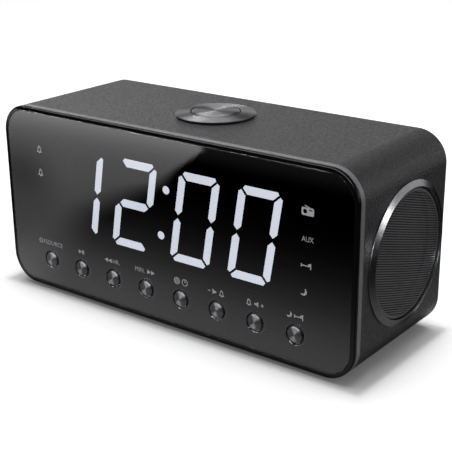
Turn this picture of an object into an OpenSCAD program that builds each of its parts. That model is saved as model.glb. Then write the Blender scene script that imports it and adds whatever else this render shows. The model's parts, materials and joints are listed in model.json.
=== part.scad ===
// Table clock radio: a rounded box with a digital display behind a dark lens, eight front
// keys, a snooze button on top and a loudspeaker in each side.
// Inside in_body(), y runs back from the front plane and z runs up from the cabinet's underside.

/* [Cabinet] */
// Width of the cabinet
body_w = 212; // [196:1:280]
// Height of the cabinet, without its feet
body_h = 96; // [94:1:130]
// Depth from the front plane to the back
body_d = 78; // [77:1:110]
// Outer radius of the four long edges
corner_r = 14.9; // [13:0.1:20]
// Wall of the cabinet sleeve
wall = 3; // [2.4:0.1:3.4]
// Height of the rubber feet below the cabinet
foot_h = 2; // [1:0.1:5]
// Diameter of a rubber foot
foot_d = 13; // [8:0.5:20]
// Distance of the feet from the cabinet's ends
foot_inset_x = 20; // [16:1:40]
// Distance of the feet from the sleeve's front and back edges
foot_inset_y = 12; // [9:1:20]
// Diameter of the corner bosses that take the case screws
boss_d = 8.4; // [7.6:0.1:9]

/* [Front] */
// Depth at which the front frame ends and the cabinet sleeve starts
band_end = 5.1; // [4.6:0.1:8]
// Width of the gloss rim round the lens
rim_w = 2; // [1.5:0.1:3]
// Depth of the gloss rim
rim_t = 1.6; // [1.2:0.1:2.2]
// Depth and height of the shadow groove behind the rim
groove = 0.5; // [0.3:0.1:0.8]
// Thickness of the lens
lens_t = 1.5; // [1:0.1:2]
// Thickness of the front frame's wall behind the lens
bulkhead_t = 2.4; // [2:0.1:3]
// Length of the front frame's skirt inside the cabinet
skirt_l = 4.7; // [3:0.1:5]

/* [Display] */
// Height of a digit
digit_h = 45.6; // [36:0.2:48]
// Width of a digit before it is slanted
digit_w = 24.05; // [18:0.05:26]
// Thickness of a segment
segment_w = 4.5; // [3:0.1:5]
// Gap between neighbouring segments
segment_gap = 0.75; // [0.4:0.05:1]
// Slant of the digits, in degrees
digit_slant = 9.5; // [0:0.5:12]
// Pitch of the two digits of a pair
digit_pitch = 34.15; // [28:0.05:34.5]
// Pitch of the two middle digits, across the colon
middle_pitch = 37.1; // [34:0.1:40]
// Height of the digits' middle above the cabinet's underside
display_z = 57; // [56:0.5:70]
// Diameter of a colon dot
dot_d = 4.5; // [3:0.1:5]
// Height of a colon dot above or below the middle
dot_rise = 11.6; // [8:0.1:14]
// Margin of the display housing round its digits
housing_margin = 3.5; // [2:0.1:5]
// Depth of the display housing
housing_d = 8; // [7:0.5:10]

/* [Keys] */
// Pitch of the eight keys
key_pitch = 21.85; // [18:0.05:23]
// Height of the keys' centres above the cabinet's underside
key_z = 16; // [15:0.1:20]
// Distance of the row's middle to the right of the cabinet's middle
key_shift = -1; // [-4:0.1:4]
// Diameter of a key
key_d = 7.8; // [7:0.1:9]
// Clearance round a key in the lens
key_gap = 0.8; // [0.3:0.05:0.9]
// How far a key stands proud of the front plane
key_proud = 0.6; // [0.4:0.1:2]
// Width of the bevel round a key's face
key_bevel = 0.8; // [0.3:0.1:1.2]
// Travel of a key
key_travel = 0.8; // [0.5:0.1:1]
// Diameter of a key's stem
stem_d = 3.5; // [3:0.1:4]
// Radial running clearance of a stem in its guide
stem_gap = 0.1; // [0.05:0.01:0.1]

/* [Snooze button] */
// Diameter of the snooze button
snooze_d = 23.4; // [18:0.2:26]
// Outer diameter of the ring round the snooze button
ring_d = 39.2; // [36:0.2:46]
// Height of the ring's outer edge above the cabinet
ring_edge_z = 1.4; // [1:0.1:2]
// Height of the ring's inner edge above the cabinet
ring_top_z = 2.2; // [1.8:0.1:3]
// Height of the button above the cabinet
snooze_top_z = 2.7; // [2.2:0.1:4]
// Travel of the snooze button
snooze_travel = 1.5; // [1:0.1:2]
// Visible gap between the button and the ring
snooze_gap = 0.8; // [0.5:0.1:1]

/* [Speakers] */
// Diameter of a speaker's trim ring on the wall
trim_d = 67; // [55:0.5:68]
// Width of the trim ring's bevel
trim_w = 2.9; // [2:0.1:4]
// Height of the trim ring's outer edge above the wall
trim_edge_h = 0.8; // [0.4:0.1:1]
// Height of the trim ring above the wall
trim_h = 2; // [1:0.1:3]
// Height of the speakers' centres above the cabinet's underside
speaker_z = 48.3; // [46:0.1:60]
// How far the speakers' centres are behind the middle of the sleeve
speaker_back = 0.85; // [0:0.05:1]
// Clearance between the trim ring and the grille's raised face
grille_gap = 0.3; // [0.2:0.05:0.6]
// Thickness of the grille's sheet
grille_t = 0.8; // [0.6:0.1:1]
// Pitch of the rings of holes in the grille
grille_pitch = 4; // [3:0.5:6]
// Diameter of a hole in the grille
grille_hole_d = 1.6; // [1:0.1:2.4]

/* [Rear] */
// Thickness of the rear cover
cover_t = 3; // [2.5:0.1:4]
// Inner diameter of the audio input's bore, for a 3.5 mm plug
aux_bore_d = 3.6; // [3.55:0.01:3.7]
// Depth of the audio input's bore
aux_bore_l = 14; // [12:0.5:15]
// Diameter of the power socket's opening
power_bore_d = 5.5; // [5:0.1:6]
// Diameter of the backup coin cell
cell_d = 20; // [16:0.5:24]
// Thickness of the backup coin cell
cell_t = 3.2; // [2:0.1:4]

/* [Hidden] */
$fn = 64;
cut = 1;                // how far a cut runs past the face it goes through
slip = 0.1;             // clearance between fixed pieces that fit into each other
run_gap = 0.3;          // clearance between pieces that move past each other
board_t = 1.6;
front_y = (key_proud - body_d) / 2;
RIGHT = 1;
LEFT = -1;

// front
foot_seat = 0.6;
lens_front = rim_t - lens_t;
bulkhead_end = rim_t + bulkhead_t;
inner_w = body_w - 2 * wall;
inner_h = body_h - 2 * wall;
inner_r = corner_r - wall;
skirt_end = band_end + skirt_l;
skirt_t = 2;

// case screws, in the four corners
boss_in = corner_r - 6;
boss_x = body_w / 2 - boss_in;
boss_xz = [for (x = [-boss_x, boss_x], z = [boss_in, body_h - boss_in]) [x, z]];
lug_t = 3;
lug_y = skirt_end + 2.2;
frame_screw_bite = 6.5; // how far a screw reaches into the front frame's boss
rear_screw_bite = 8;
frame_boss_d = 6.4;
case_screw_d = 2.8;
case_head_d = 5.6;
case_head_t = 2;
rear_boss_l = 15;
pilot_l = 5;            // depth of a pilot hole for a small screw
board_screw_l = board_t + 4.5;
cover_y = body_d - cover_t;

// display
slant = tan(digit_slant);
outer_digit_x = middle_pitch / 2 + digit_pitch;
digit_x = [-outer_digit_x, -middle_pitch / 2, middle_pitch / 2, outer_digit_x];
lit_names = ["bc", "abged", "abcdef", "abcdef"];
all_names = "abcdefg";
tip_d = 1.6;            // depth of a corner segment's tip
tip_l = 1.05;           // length of the bevel beside the tip
mitre = segment_gap * sqrt(0.5);
housing_w = 2 * outer_digit_x + digit_w + slant * digit_h + 2 * housing_margin;
housing_h = digit_h + 2 * housing_margin;
housing_end = rim_t + housing_d;
segment_l = 2;
led_size = [2, 1, 1.4];
display_board_w = housing_w + 18;
display_board_h = housing_h + 6;
display_post_x = housing_w / 2 + 5;
display_post_z = housing_h / 2 - 5;
display_board_end = housing_end + board_t;

// keys
key_flange_d = key_d + 2 * key_gap + 1.5;
key_flange_y = rim_t + run_gap;
key_flange_t = 0.8;
key_well_end = key_flange_y + key_flange_t + key_travel + run_gap;
key_tower_t = 1.6;      // wall of the tower round a key's well
key_tower_d = key_flange_d + 2 * key_tower_t;
key_tower_end = key_well_end + 2.4;
key_bevel_t = 0.4;
switch_size = 6;
switch_t = 3.5;
switch_y = key_tower_end + 0.8;
key_board_y = switch_y + switch_t;
key_board_end = key_board_y + board_t;
stem_end = switch_y + 1;
key_board_w = 7 * key_pitch + 16;
key_board_h = 13;
key_post_x = [for (n = [-3, 0, 3]) key_shift + n * key_pitch];
front_screw_d = 2;
front_head_d = 4;
front_head_t = 1.4;
post_d = 5.4;

// snooze button, heights from the cabinet's top
snooze_y = (band_end + body_d) / 2;
ring_bore_d = snooze_d + 2 * snooze_gap;
ring_neck_d = ring_d - 2.6;
ring_lip_t = 0.4;
snooze_bevel = 0.5;
collar_bore_d = snooze_d + 2 * run_gap;
collar_d = ring_bore_d + 3;
collar_end = -wall - 1.6;
nut_d = collar_d + 8;
snooze_skin = 1.4;
snooze_flange_d = snooze_d + 3.2;
snooze_flange_z = collar_end - run_gap;
snooze_flange_t = 1.2;
snooze_board_z = snooze_flange_z - snooze_flange_t - snooze_travel - 1.6;
snooze_board_w = snooze_flange_d + 24;
snooze_board_h = snooze_flange_d;
snooze_post_x = snooze_board_w / 2 - 4;
snooze_switch_t = 3.5;
snooze_stem_d = 4.2;
snooze_stem_z = snooze_board_z + snooze_travel + 0.4;
spring_r = 6.5;
spring_wire_d = 0.8;
spring_turns = 5;
spring_sides = 8;
spring_steps = 20;      // rings in one turn
spring_z0 = snooze_board_z;
spring_z1 = snooze_top_z - snooze_skin - slip;

// speakers: r from the axis, z outwards from the wall's outer face
speaker_y = snooze_y + speaker_back;
trim_crest_r = trim_d / 2 - trim_w;
trim_bore_r = trim_crest_r - 0.4;
speaker_hole_r = trim_bore_r + 0.8;
flange_r = speaker_hole_r + 1;          // of the grille, the gasket and the basket
grille_r = trim_bore_r - grille_gap;
grille_top = trim_h + 0.2;
grille_rows = floor((grille_r - grille_hole_d - 1) / grille_pitch);
gasket_t = 1.5;
gasket_z = -wall - grille_t;
basket_z = gasket_z - gasket_t;
basket_t = 1.5;
coil_r = 7.2;
coil_t = 0.5;
basket_lip = 6.5;
basket_mouth_r = flange_r - basket_lip;
basket_neck_r = 16;
basket_floor_z = basket_z - 18;
basket_window = 16;
coil_gap_r = coil_r + 1.2;              // bore that the voice coil runs in
coil_dip = 5;                           // how far the coil reaches into the magnet
magnet_r = 18;
magnet_t = 8;
magnet_floor = 2;
pole_r = 6.6;
cone_t = 0.5;
cone_rim_r = basket_mouth_r - 4;
surround_r = (basket_mouth_r - 0.5 - cone_rim_r) / 2;
surround_lift = 1.4;
dome_h = 4;
cone_neck_z = basket_z - 10;
ear_r = flange_r + 3.8;
ear_d = 6.4;
speaker_screw_d = 2.4;
speaker_head_d = 4.6;
speaker_head_t = 1.4;
ear_boss_l = gasket_t + grille_t;

// rear
fit_gap = 0.15;
vent_w = 2;
vent_h = 22;
vent_count = 12;
vent_pitch = 4.4;
main_board_w = 132;
main_board_h = 62;
main_post_l = 13.4;
main_board_y = cover_y - main_post_l - board_t;
main_board_z = 48;
main_post_x = main_board_w / 2 - 6;
main_post_z = main_board_h / 2 - 6;
main_post_d = 6;
jack_z = 27;
aux_x = -30;
power_x = -46;
antenna_x = -14;
jack_nose_d = 6;
jack_body = [9, 10];    // width and height of a jack's body
power_nose_d = 8;
power_body = [11, 12];
power_bore_l = 12;
power_pin_d = 2;
grommet_d = 6;
grommet_flange_d = 9;
grommet_flange_t = 1;
antenna_bore_d = 1.6;
tray_x = 40;
tray_z = 32;
tray_floor = 1;
cell_gap = 0.4;
door_t = 1.4;
tray_mouth_d = cell_d + 2 * cell_gap;
tray_d = tray_mouth_d + 5;
tray_l = cell_t + 2 * tray_floor;
door_d = tray_d;
coin_slot = [12, 0.7, 1.8];
vent_z = 66;
// Chips on the main board: middle x and z, width, height, thickness
chips = [[-6, 48, 14, 14, 1.6], [14, 50, 10, 10, 1.8], [-34, 62, 8, 12, 1.2], [2, 34, 6, 8, 1.2]];
capacitors = [[30, 60], [42, 60], [30, 46]];
capacitor_d = 10;
capacitor_l = 14;
shield_x = -36;
shield_z = 38;
shield_size = [28, 5, 20];
shield_t = 0.5;
ribbon_w = 16;
ribbon_t = 0.4;
ribbon_z = 62;
ribbon_sag = 7;
plug_w = 20;
plug_t = 2;
plug_h = 4;
key_ribbon_z = [key_z + 4, display_z - display_board_h / 2 + 4];
key_ribbon_bulge = 5;
lead_d = 1.8;
lead_sides = 8;
lead_plug = [5, 2, 5];
lead_start = 15;        // depth behind the wall at which a speaker's lead leaves its basket
snooze_lead_x = 12;
plug_rise = 26;         // height of the snooze lead's plug above the main board's middle

// Outer radius of the basket at a depth z from the wall's outer face
function basket_r(z) = let (share = (basket_z - basket_t - z) / (basket_z - basket_floor_z))
    basket_mouth_r + basket_t + (basket_neck_r - basket_mouth_r) * share;

// A lead runs from where it starts, through points after its start and points before its plug
function route(start, after, before, plug) = [
    for (p = after) start + p,
    for (p = before) plug + p
];

basket_terminal_r = (basket_r(-lead_start) + 0.6) * sqrt(0.5);
speaker_route = route(
    [body_w / 2 - lead_start, speaker_y + basket_terminal_r, speaker_z - basket_terminal_r],
    [[0, 0, 0], [-0.4, 1, -1], [-2, 1.8, -2.1], [-6, 1.8, -2.7], [-11, 0.6, -2.9], [-16, -1, -2.9],
        [-21, -2.8, -2.9]],
    [[12, -3.2, 0], [8, -3.8, 0], [4, -4, 0], [1.7, -3.3, 0], [0.4, -1.8, 0], [0, 0, 0]],
    [54, main_board_y - lead_plug[1], 29]
);
snooze_route = route(
    [snooze_lead_x, snooze_y, body_h + snooze_board_z - board_t],
    [[0, 0, -0.3], [0, 0.4, -2.7], [0, 2, -5.4]],
    [[0, -11.6, 3.4], [0, -8, 1.6], [0, -4, 0.4], [0, 0, 0]],
    [snooze_lead_x, main_board_y - lead_plug[1], main_board_z + plug_rise]
);

// ---- helpers ----
module in_body() translate([0, front_y, foot_h]) children();

// Extrudes an outline drawn in x and z from depth y0 back to depth y1
module along_y(y0, y1) translate([0, y1, 0]) rotate([90, 0, 0]) linear_extrude(y1 - y0) children();

module rod_y(d, y0, y1, x, z) translate([x, y1, z]) rotate([90, 0, 0]) cylinder(d = d, h = y1 - y0);

module box_at(x, y0, z, size) translate([x - size[0] / 2, y0, z - size[2] / 2]) cube(size);

// Rounded rectangle w by h whose middle is the cabinet's middle
module contour(w, h, r) translate([0, body_h / 2]) {
    square([w - 2 * r, h], center = true);
    square([w, h - 2 * r], center = true);
    for (x = [-1, 1], y = [-1, 1]) translate([x * (w / 2 - r), y * (h / 2 - r)]) circle(r);
}

module outer_contour(inset = 0) contour(body_w - 2 * inset, body_h - 2 * inset, corner_r - inset);

module inner_contour(inset = 0) contour(inner_w - 2 * inset, inner_h - 2 * inset, inner_r - inset);

// Pan-head screw along y: the head lies behind head_y, the shank runs forwards
module screw_y(d, head_d, head_t, head_y, shank_l, x, z) {
    difference() {
        rod_y(head_d, head_y, head_y + head_t, x, z);
        translate([x, head_y + head_t, z]) for (a = [0, 90]) rotate([0, a, 0])
            cube([head_d * 0.6, head_t, 0.6], center = true);
    }
    rod_y(d, head_y - shank_l, head_y, x, z);
}

function key_x(i) = key_shift + (i - 3.5) * key_pitch;

// Puts a piece drawn on the z axis, wall face at z = 0, onto the right or left wall
module on_side(side) in_body() translate([side * body_w / 2, speaker_y, speaker_z])
    mirror([side == LEFT ? 1 : 0, 0, 0]) rotate([0, 90, 0]) children();

// Puts a piece onto the middle of the cabinet's top
module on_top() in_body() translate([0, snooze_y, body_h]) children();

module at_ears() for (a = [45 : 90 : 315]) rotate(a) translate([ear_r, 0, 0]) children();

// Closed tube of lead_d along a list of points
function ring_dir(p, i) = let (a = p[max(i - 1, 0)], b = p[min(i + 1, len(p) - 1)]) (b - a) / norm(b - a);

function ring_points(c, t, r, n) = let (
    u = cross(t, [0, 0, 1]) / norm(cross(t, [0, 0, 1])),
    v = cross(u, t)
) [for (k = [0 : n - 1]) c + r * (cos(360 * k / n) * u + sin(360 * k / n) * v)];

module tube(path, r, n) {
    rings = len(path);
    points = [for (i = [0 : rings - 1]) each ring_points(path[i], ring_dir(path, i), r, n)];
    sides = [for (i = [0 : rings - 2], k = [0 : n - 1]) each let (
        a = i * n + k,
        b = i * n + (k + 1) % n
    ) [[a, b, b + n], [a, b + n, a + n]]];
    ends = [[for (k = [n - 1 : -1 : 0]) k], [for (k = [0 : n - 1]) (rings - 1) * n + k]];
    polyhedron(points, concat(sides, ends), convexity = 10);
}

// ---- cabinet ----
module cabinet() color([0.19, 0.19, 0.2]) {
    in_body() difference() {
        union() {
            difference() {
                along_y(band_end, body_d) outer_contour();
                along_y(band_end - cut, body_d + cut) inner_contour();
            }
            for (p = boss_xz) {
                rod_y(boss_d, lug_y, lug_y + lug_t, p[0], p[1]);
                rod_y(boss_d, cover_y - rear_boss_l, cover_y, p[0], p[1]);
            }
            for (x = [-1, 1]) translate([x * snooze_post_x, snooze_y, body_h + snooze_board_z])
                cylinder(d = post_d, h = -snooze_board_z - wall);
        }
        for (p = boss_xz) {
            rod_y(case_screw_d + 2 * slip, lug_y - cut, lug_y + lug_t + cut, p[0], p[1]);
                rod_y(case_screw_d, cover_y - rear_screw_bite - 2, cover_y + cut, p[0], p[1]);
        }
        translate([0, snooze_y, body_h - wall - cut]) cylinder(d = collar_d + 2 * slip, h = wall + 2 * cut);
        for (x = [-1, 1]) translate([x * snooze_post_x, snooze_y, body_h + snooze_board_z - cut])
            cylinder(d = front_screw_d, h = pilot_l + cut);
        for (side = [-1, 1]) translate([side * (body_w / 2 - wall / 2), speaker_y, speaker_z])
            rotate([0, 90, 0]) cylinder(r = speaker_hole_r + slip, h = wall + 2 * cut, center = true);
        foot_places() translate([0, 0, -cut]) cylinder(d = foot_d + 2 * slip, h = foot_seat + cut);
    }
    for (side = [LEFT, RIGHT]) on_side(side) at_ears() difference() {
        translate([0, 0, basket_z]) cylinder(d = ear_d, h = ear_boss_l + slip);
        translate([0, 0, basket_z - cut]) cylinder(d = speaker_screw_d, h = ear_boss_l + cut);
    }
}

module foot_places() for (x = [-1, 1], y = [band_end + foot_inset_y, body_d - foot_inset_y])
    translate([x * (body_w / 2 - foot_inset_x), y, 0]) children();

module rubber_feet() color([0.08, 0.08, 0.08]) in_body() foot_places() {
    translate([0, 0, -foot_h]) cylinder(d1 = foot_d - 1, d2 = foot_d, h = 0.5);
    translate([0, 0, 0.5 - foot_h]) cylinder(d = foot_d, h = foot_h + foot_seat - 0.5);
}

// ---- front ----
module front_frame() color([0.24, 0.24, 0.25]) in_body() difference() {
    union() {
        along_y(rim_t, rim_t + groove) outer_contour(groove);
        along_y(rim_t + groove, bulkhead_end) outer_contour();
        difference() {
            along_y(bulkhead_end, band_end) outer_contour();
            along_y(bulkhead_end - cut, band_end + cut) inner_contour(fit_gap + skirt_t);
        }
        difference() {
            along_y(band_end, skirt_end) inner_contour(fit_gap);
            along_y(band_end - cut, skirt_end + cut) inner_contour(fit_gap + skirt_t);
        }
        for (i = [0 : 7]) rod_y(key_tower_d, rim_t + groove, key_tower_end, key_x(i), key_z);
        for (x = key_post_x) rod_y(post_d, rim_t + groove, key_board_y, x, key_z);
        for (x = [-1, 1], z = [-1, 1])
            rod_y(post_d, rim_t + groove, housing_end, x * display_post_x, display_z + z * display_post_z);
        for (p = boss_xz) rod_y(frame_boss_d, rim_t + groove, lug_y, p[0], p[1]);
    }
    along_y(rim_t - cut, bulkhead_end + cut) translate([0, display_z])
        square([housing_w + 2 * slip, housing_h + 2 * slip], center = true);
    for (i = [0 : 7]) {
        rod_y(key_flange_d + 2 * run_gap, rim_t - cut, key_well_end, key_x(i), key_z);
        rod_y(stem_d + 2 * stem_gap, key_well_end - cut, key_tower_end + cut, key_x(i), key_z);
    }
    for (x = key_post_x) rod_y(front_screw_d, key_board_y - pilot_l, key_board_y + cut, x, key_z);
    for (x = [-1, 1], z = [-1, 1])
        rod_y(front_screw_d, housing_end - pilot_l, housing_end + cut,
            x * display_post_x, display_z + z * display_post_z);
    for (p = boss_xz) rod_y(case_screw_d, lug_y - frame_screw_bite - 0.5, lug_y + cut, p[0], p[1]);
}

module frame_screws() color([0.6, 0.6, 0.62]) in_body() for (p = boss_xz)
    screw_y(case_screw_d, case_head_d, case_head_t, lug_y + lug_t, lug_t + frame_screw_bite, p[0], p[1]);

module front_rim() color([0.04, 0.04, 0.045]) in_body() difference() {
    along_y(0, rim_t) outer_contour();
    along_y(-cut, rim_t + cut) outer_contour(rim_w);
}

module front_lens() color([0.05, 0.05, 0.06, 0.6]) in_body() difference() {
    along_y(lens_front, rim_t) outer_contour(rim_w + slip);
    for (i = [0 : 7]) rod_y(key_d + 2 * key_gap, -cut, rim_t + cut, key_x(i), key_z);
}

// ---- display ----
function slanted(p, x) = [x + p[0] + slant * p[1], p[1]];

// Outline of one segment of an upright digit about its middle. hw and hh are half sizes.
function top_bar(hw, hh) = let (x0 = hw - tip_d - mitre) [
    [-x0, hh - tip_d], [-x0 + tip_l, hh], [x0 - tip_l, hh], [x0, hh - tip_d],
    [hw - segment_w - mitre, hh - segment_w], [-hw + segment_w + mitre, hh - segment_w]
];

function side_bar(hw, hh) = let (z0 = hh - tip_d - mitre) [
    [hw - tip_d, z0], [hw, z0 - tip_l], [hw, mitre + segment_w / 2], [hw - segment_w / 2, mitre],
    [hw - segment_w, mitre + segment_w / 2], [hw - segment_w, hh - segment_w - mitre]
];

function middle_bar(hw) = let (x0 = hw - segment_w - mitre, x1 = x0 + segment_w / 2) [
    [-x1, 0], [-x0, segment_w / 2], [x0, segment_w / 2], [x1, 0], [x0, -segment_w / 2], [-x0, -segment_w / 2]
];

function flip(points, sx, sy) = [for (p = points) [sx * p[0], sy * p[1]]];

function segment(name) = let (hw = digit_w / 2, hh = digit_h / 2)
    name == "a" ? top_bar(hw, hh) :
    name == "b" ? side_bar(hw, hh) :
    name == "c" ? flip(side_bar(hw, hh), 1, -1) :
    name == "d" ? flip(top_bar(hw, hh), 1, -1) :
    name == "e" ? flip(side_bar(hw, hh), -1, -1) :
    name == "f" ? flip(side_bar(hw, hh), -1, 1) : middle_bar(hw);

module segment_at(name, digit) polygon([for (p = segment(name)) slanted(p, digit_x[digit])]);

module dots() for (z = [-dot_rise, dot_rise]) translate([slant * z, z]) circle(d = dot_d);

function is_lit(name, digit) = len(search(name, lit_names[digit])) > 0;

module lit_outlines() translate([0, display_z]) {
    for (digit = [0 : 3], name = all_names) if (is_lit(name, digit)) segment_at(name, digit);
    dots();
}

module dark_outlines() translate([0, display_z])
    for (digit = [0 : 3], name = all_names) if (!is_lit(name, digit)) segment_at(name, digit);

module display_housing() color([0.06, 0.06, 0.065]) in_body() difference() {
    along_y(rim_t, housing_end) translate([0, display_z]) square([housing_w, housing_h], center = true);
    along_y(rim_t - cut, housing_end + cut) {
        lit_outlines();
        dark_outlines();
    }
}

module segments_lit() color([0.85, 0.92, 1]) in_body() along_y(rim_t, rim_t + segment_l) lit_outlines();

module segments_dark() color([0.25, 0.25, 0.27]) in_body() along_y(rim_t, rim_t + segment_l) dark_outlines();

function centre(points) = [for (p = points) 1 / len(points)] * points;

module display_leds() color([0.95, 0.95, 0.85]) in_body() translate([0, 0, display_z]) {
    for (digit = [0 : 3], name = all_names) {
        c = slanted(centre(segment(name)), digit_x[digit]);
        box_at(c[0], housing_end - led_size[1], c[1], led_size);
    }
    for (z = [-dot_rise, dot_rise]) box_at(slant * z, housing_end - led_size[1], z, led_size);
}

module display_board() color([0.05, 0.3, 0.15]) in_body() difference() {
    along_y(housing_end, display_board_end) translate([0, display_z])
        square([display_board_w, display_board_h], center = true);
    for (x = [-1, 1], z = [-1, 1])
        rod_y(front_screw_d + 2 * slip, housing_end - cut, display_board_end + cut,
            x * display_post_x, display_z + z * display_post_z);
}

// ---- keys ----
module key_board() color([0.05, 0.3, 0.15]) in_body() difference() {
    along_y(key_board_y, key_board_end) translate([key_shift, key_z])
        square([key_board_w, key_board_h], center = true);
    for (x = key_post_x) rod_y(front_screw_d + 2 * slip, key_board_y - cut, key_board_end + cut, x, key_z);
}

module key_switches() color([0.12, 0.12, 0.12]) in_body() for (i = [0 : 7]) difference() {
    box_at(key_x(i), switch_y, key_z, [switch_size, switch_t, switch_size]);
    rod_y(stem_d + 2 * stem_gap, switch_y - cut, stem_end + key_travel + run_gap, key_x(i), key_z);
}

module key(i) color([0.45, 0.45, 0.47]) in_body() translate([key_x(i), 0, key_z]) {
    translate([0, -key_proud, 0]) rotate([-90, 0, 0])
        cylinder(d1 = key_d - 2 * key_bevel, d2 = key_d, h = key_bevel_t);
    rod_y(key_d, key_bevel_t - key_proud, key_flange_y, 0, 0);
    rod_y(key_flange_d, key_flange_y, key_flange_y + key_flange_t, 0, 0);
    rod_y(stem_d, key_flange_y + key_flange_t, stem_end, 0, 0);
}

// ---- snooze button ----
module snooze_ring() color([0.6, 0.6, 0.62]) on_top() rotate_extrude() polygon([
    [ring_bore_d / 2, ring_top_z], [ring_d / 2, ring_edge_z], [ring_d / 2, ring_edge_z - ring_lip_t],
    [ring_neck_d / 2, ring_edge_z - ring_lip_t - 0.3], [ring_neck_d / 2, 0], [collar_d / 2, 0],
    [collar_d / 2, collar_end], [collar_bore_d / 2, collar_end], [collar_bore_d / 2, 0],
    [ring_bore_d / 2, 0]
]);

module snooze_nut() color([0.55, 0.55, 0.57]) on_top() translate([0, 0, collar_end]) difference() {
    cylinder(d = nut_d, h = -wall - collar_end);
    translate([0, 0, -cut]) cylinder(d = collar_d, h = -wall - collar_end + 2 * cut);
}

module snooze_button() color([0.6, 0.6, 0.62]) on_top() {
    rotate_extrude() polygon([
        [0, snooze_top_z], [snooze_d / 2 - snooze_bevel, snooze_top_z],
        [snooze_d / 2, snooze_top_z - snooze_bevel],
        [snooze_d / 2, snooze_flange_z], [snooze_flange_d / 2, snooze_flange_z],
        [snooze_flange_d / 2, snooze_flange_z - snooze_flange_t],
        [snooze_d / 2 - snooze_skin, snooze_flange_z - snooze_flange_t],
        [snooze_d / 2 - snooze_skin, snooze_top_z - snooze_skin], [0, snooze_top_z - snooze_skin]
    ]);
    translate([0, 0, snooze_stem_z])
        cylinder(d = snooze_stem_d, h = snooze_top_z - snooze_skin - snooze_stem_z);
}

function coil_path(z0, z1) = [for (i = [0 : spring_turns * spring_steps]) let (
    a = 360 * i / spring_steps,
    s = i / (spring_turns * spring_steps)
) [spring_r * cos(a), spring_r * sin(a), z0 + s * (z1 - z0)]];

module snooze_spring() color([0.7, 0.7, 0.72]) on_top()
    tube(coil_path(spring_z0 + spring_wire_d / 2, spring_z1 - spring_wire_d / 2),
        spring_wire_d / 2, spring_sides);

module snooze_switch() color([0.12, 0.12, 0.12]) on_top() translate([0, 0, snooze_board_z]) difference() {
    translate([-switch_size / 2, -switch_size / 2, 0]) cube([switch_size, switch_size, snooze_switch_t]);
    translate([0, 0, 0.2]) cylinder(d = snooze_stem_d + 2 * stem_gap, h = snooze_switch_t);
}

module snooze_board() color([0.05, 0.3, 0.15]) on_top() difference() {
    translate([-snooze_board_w / 2, -snooze_board_h / 2, snooze_board_z - board_t])
        cube([snooze_board_w, snooze_board_h, board_t]);
    for (x = [-1, 1]) translate([x * snooze_post_x, 0, snooze_board_z - board_t - cut])
        cylinder(d = front_screw_d + 2 * slip, h = board_t + 2 * cut);
}

// ---- speakers ----
module trim_ring() color([0.62, 0.62, 0.64]) rotate_extrude() polygon([
    [trim_bore_r, trim_h], [trim_crest_r, trim_h], [trim_d / 2, trim_edge_h], [trim_d / 2, 0],
    [speaker_hole_r, 0],
    [speaker_hole_r, -wall], [trim_bore_r, -wall]
]);

module grille() color([0.1, 0.1, 0.1]) difference() {
    rotate_extrude() polygon([
        [0, grille_top], [grille_r - grille_t, grille_top], [grille_r, grille_top - grille_t],
        [grille_r, -wall], [flange_r, -wall], [flange_r, gasket_z], [grille_r - grille_t, gasket_z],
        [grille_r - grille_t, grille_top - grille_t], [0, grille_top - grille_t]
    ]);
    for (row = [0 : grille_rows], k = [0 : max(6 * row - 1, 0)])
        rotate(k * 60 / max(row, 1)) translate([row * grille_pitch, 0, 0])
            cylinder(d = grille_hole_d, h = grille_top + cut);
}

module gasket() color([0.15, 0.15, 0.15]) translate([0, 0, basket_z]) difference() {
    cylinder(r = flange_r, h = gasket_t);
    translate([0, 0, -cut]) cylinder(r = basket_mouth_r + 2.2, h = gasket_t + 2 * cut);
}

module basket() color([0.35, 0.35, 0.37]) difference() {
    union() {
        rotate_extrude() polygon([
            [basket_mouth_r, basket_z], [flange_r, basket_z], [flange_r, basket_z - basket_t],
            [basket_mouth_r + basket_t, basket_z - basket_t],
            [basket_neck_r + basket_t, basket_floor_z - basket_t],
            [coil_gap_r, basket_floor_z - basket_t], [coil_gap_r, basket_floor_z],
            [basket_neck_r, basket_floor_z],
            [basket_mouth_r, basket_z - basket_t]
        ]);
        at_ears() translate([0, 0, basket_z - basket_t]) {
            cylinder(d = ear_d, h = basket_t);
            translate([flange_r - 2 - ear_r, -ear_d / 2, 0]) cube([ear_r - flange_r + 2, ear_d, basket_t]);
        }
    }
    at_ears() translate([0, 0, basket_z - basket_t - cut])
        cylinder(d = speaker_screw_d + 2 * slip, h = basket_t + 2 * cut);
    for (a = [0 : 90 : 270]) rotate(a) translate([basket_neck_r - 2, -basket_window / 2, basket_floor_z + 2])
        cube([flange_r, basket_window, basket_z - basket_t - basket_floor_z - 4]);
}

// Cone with its rolled surround
module cone() color([0.13, 0.13, 0.14]) rotate_extrude() polygon(concat(
    [[basket_mouth_r + 2, basket_z], [basket_mouth_r + 2, basket_z + cone_t]],
    [for (a = [0 : 20 : 180]) surround_point(a, surround_r)],
    [[coil_r + coil_t, cone_neck_z], [coil_r + coil_t, cone_neck_z - cone_t]],
    [for (a = [180 : -20 : 0]) surround_point(a, surround_r - cone_t)]
));

function surround_point(a, r) = [
    cone_rim_r + surround_r + r * cos(a),
    basket_z + surround_lift * sin(a) * r / surround_r
];

module dust_cap() color([0.1, 0.1, 0.11]) translate([0, 0, cone_neck_z]) rotate_extrude() polygon(concat(
    [for (a = [0 : 15 : 90]) [(coil_r - slip) * cos(a), dome_h * sin(a)]],
    [for (a = [90 : -15 : 0]) [(coil_r - slip - cone_t) * cos(a), (dome_h - cone_t) * sin(a)]]
));

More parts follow.
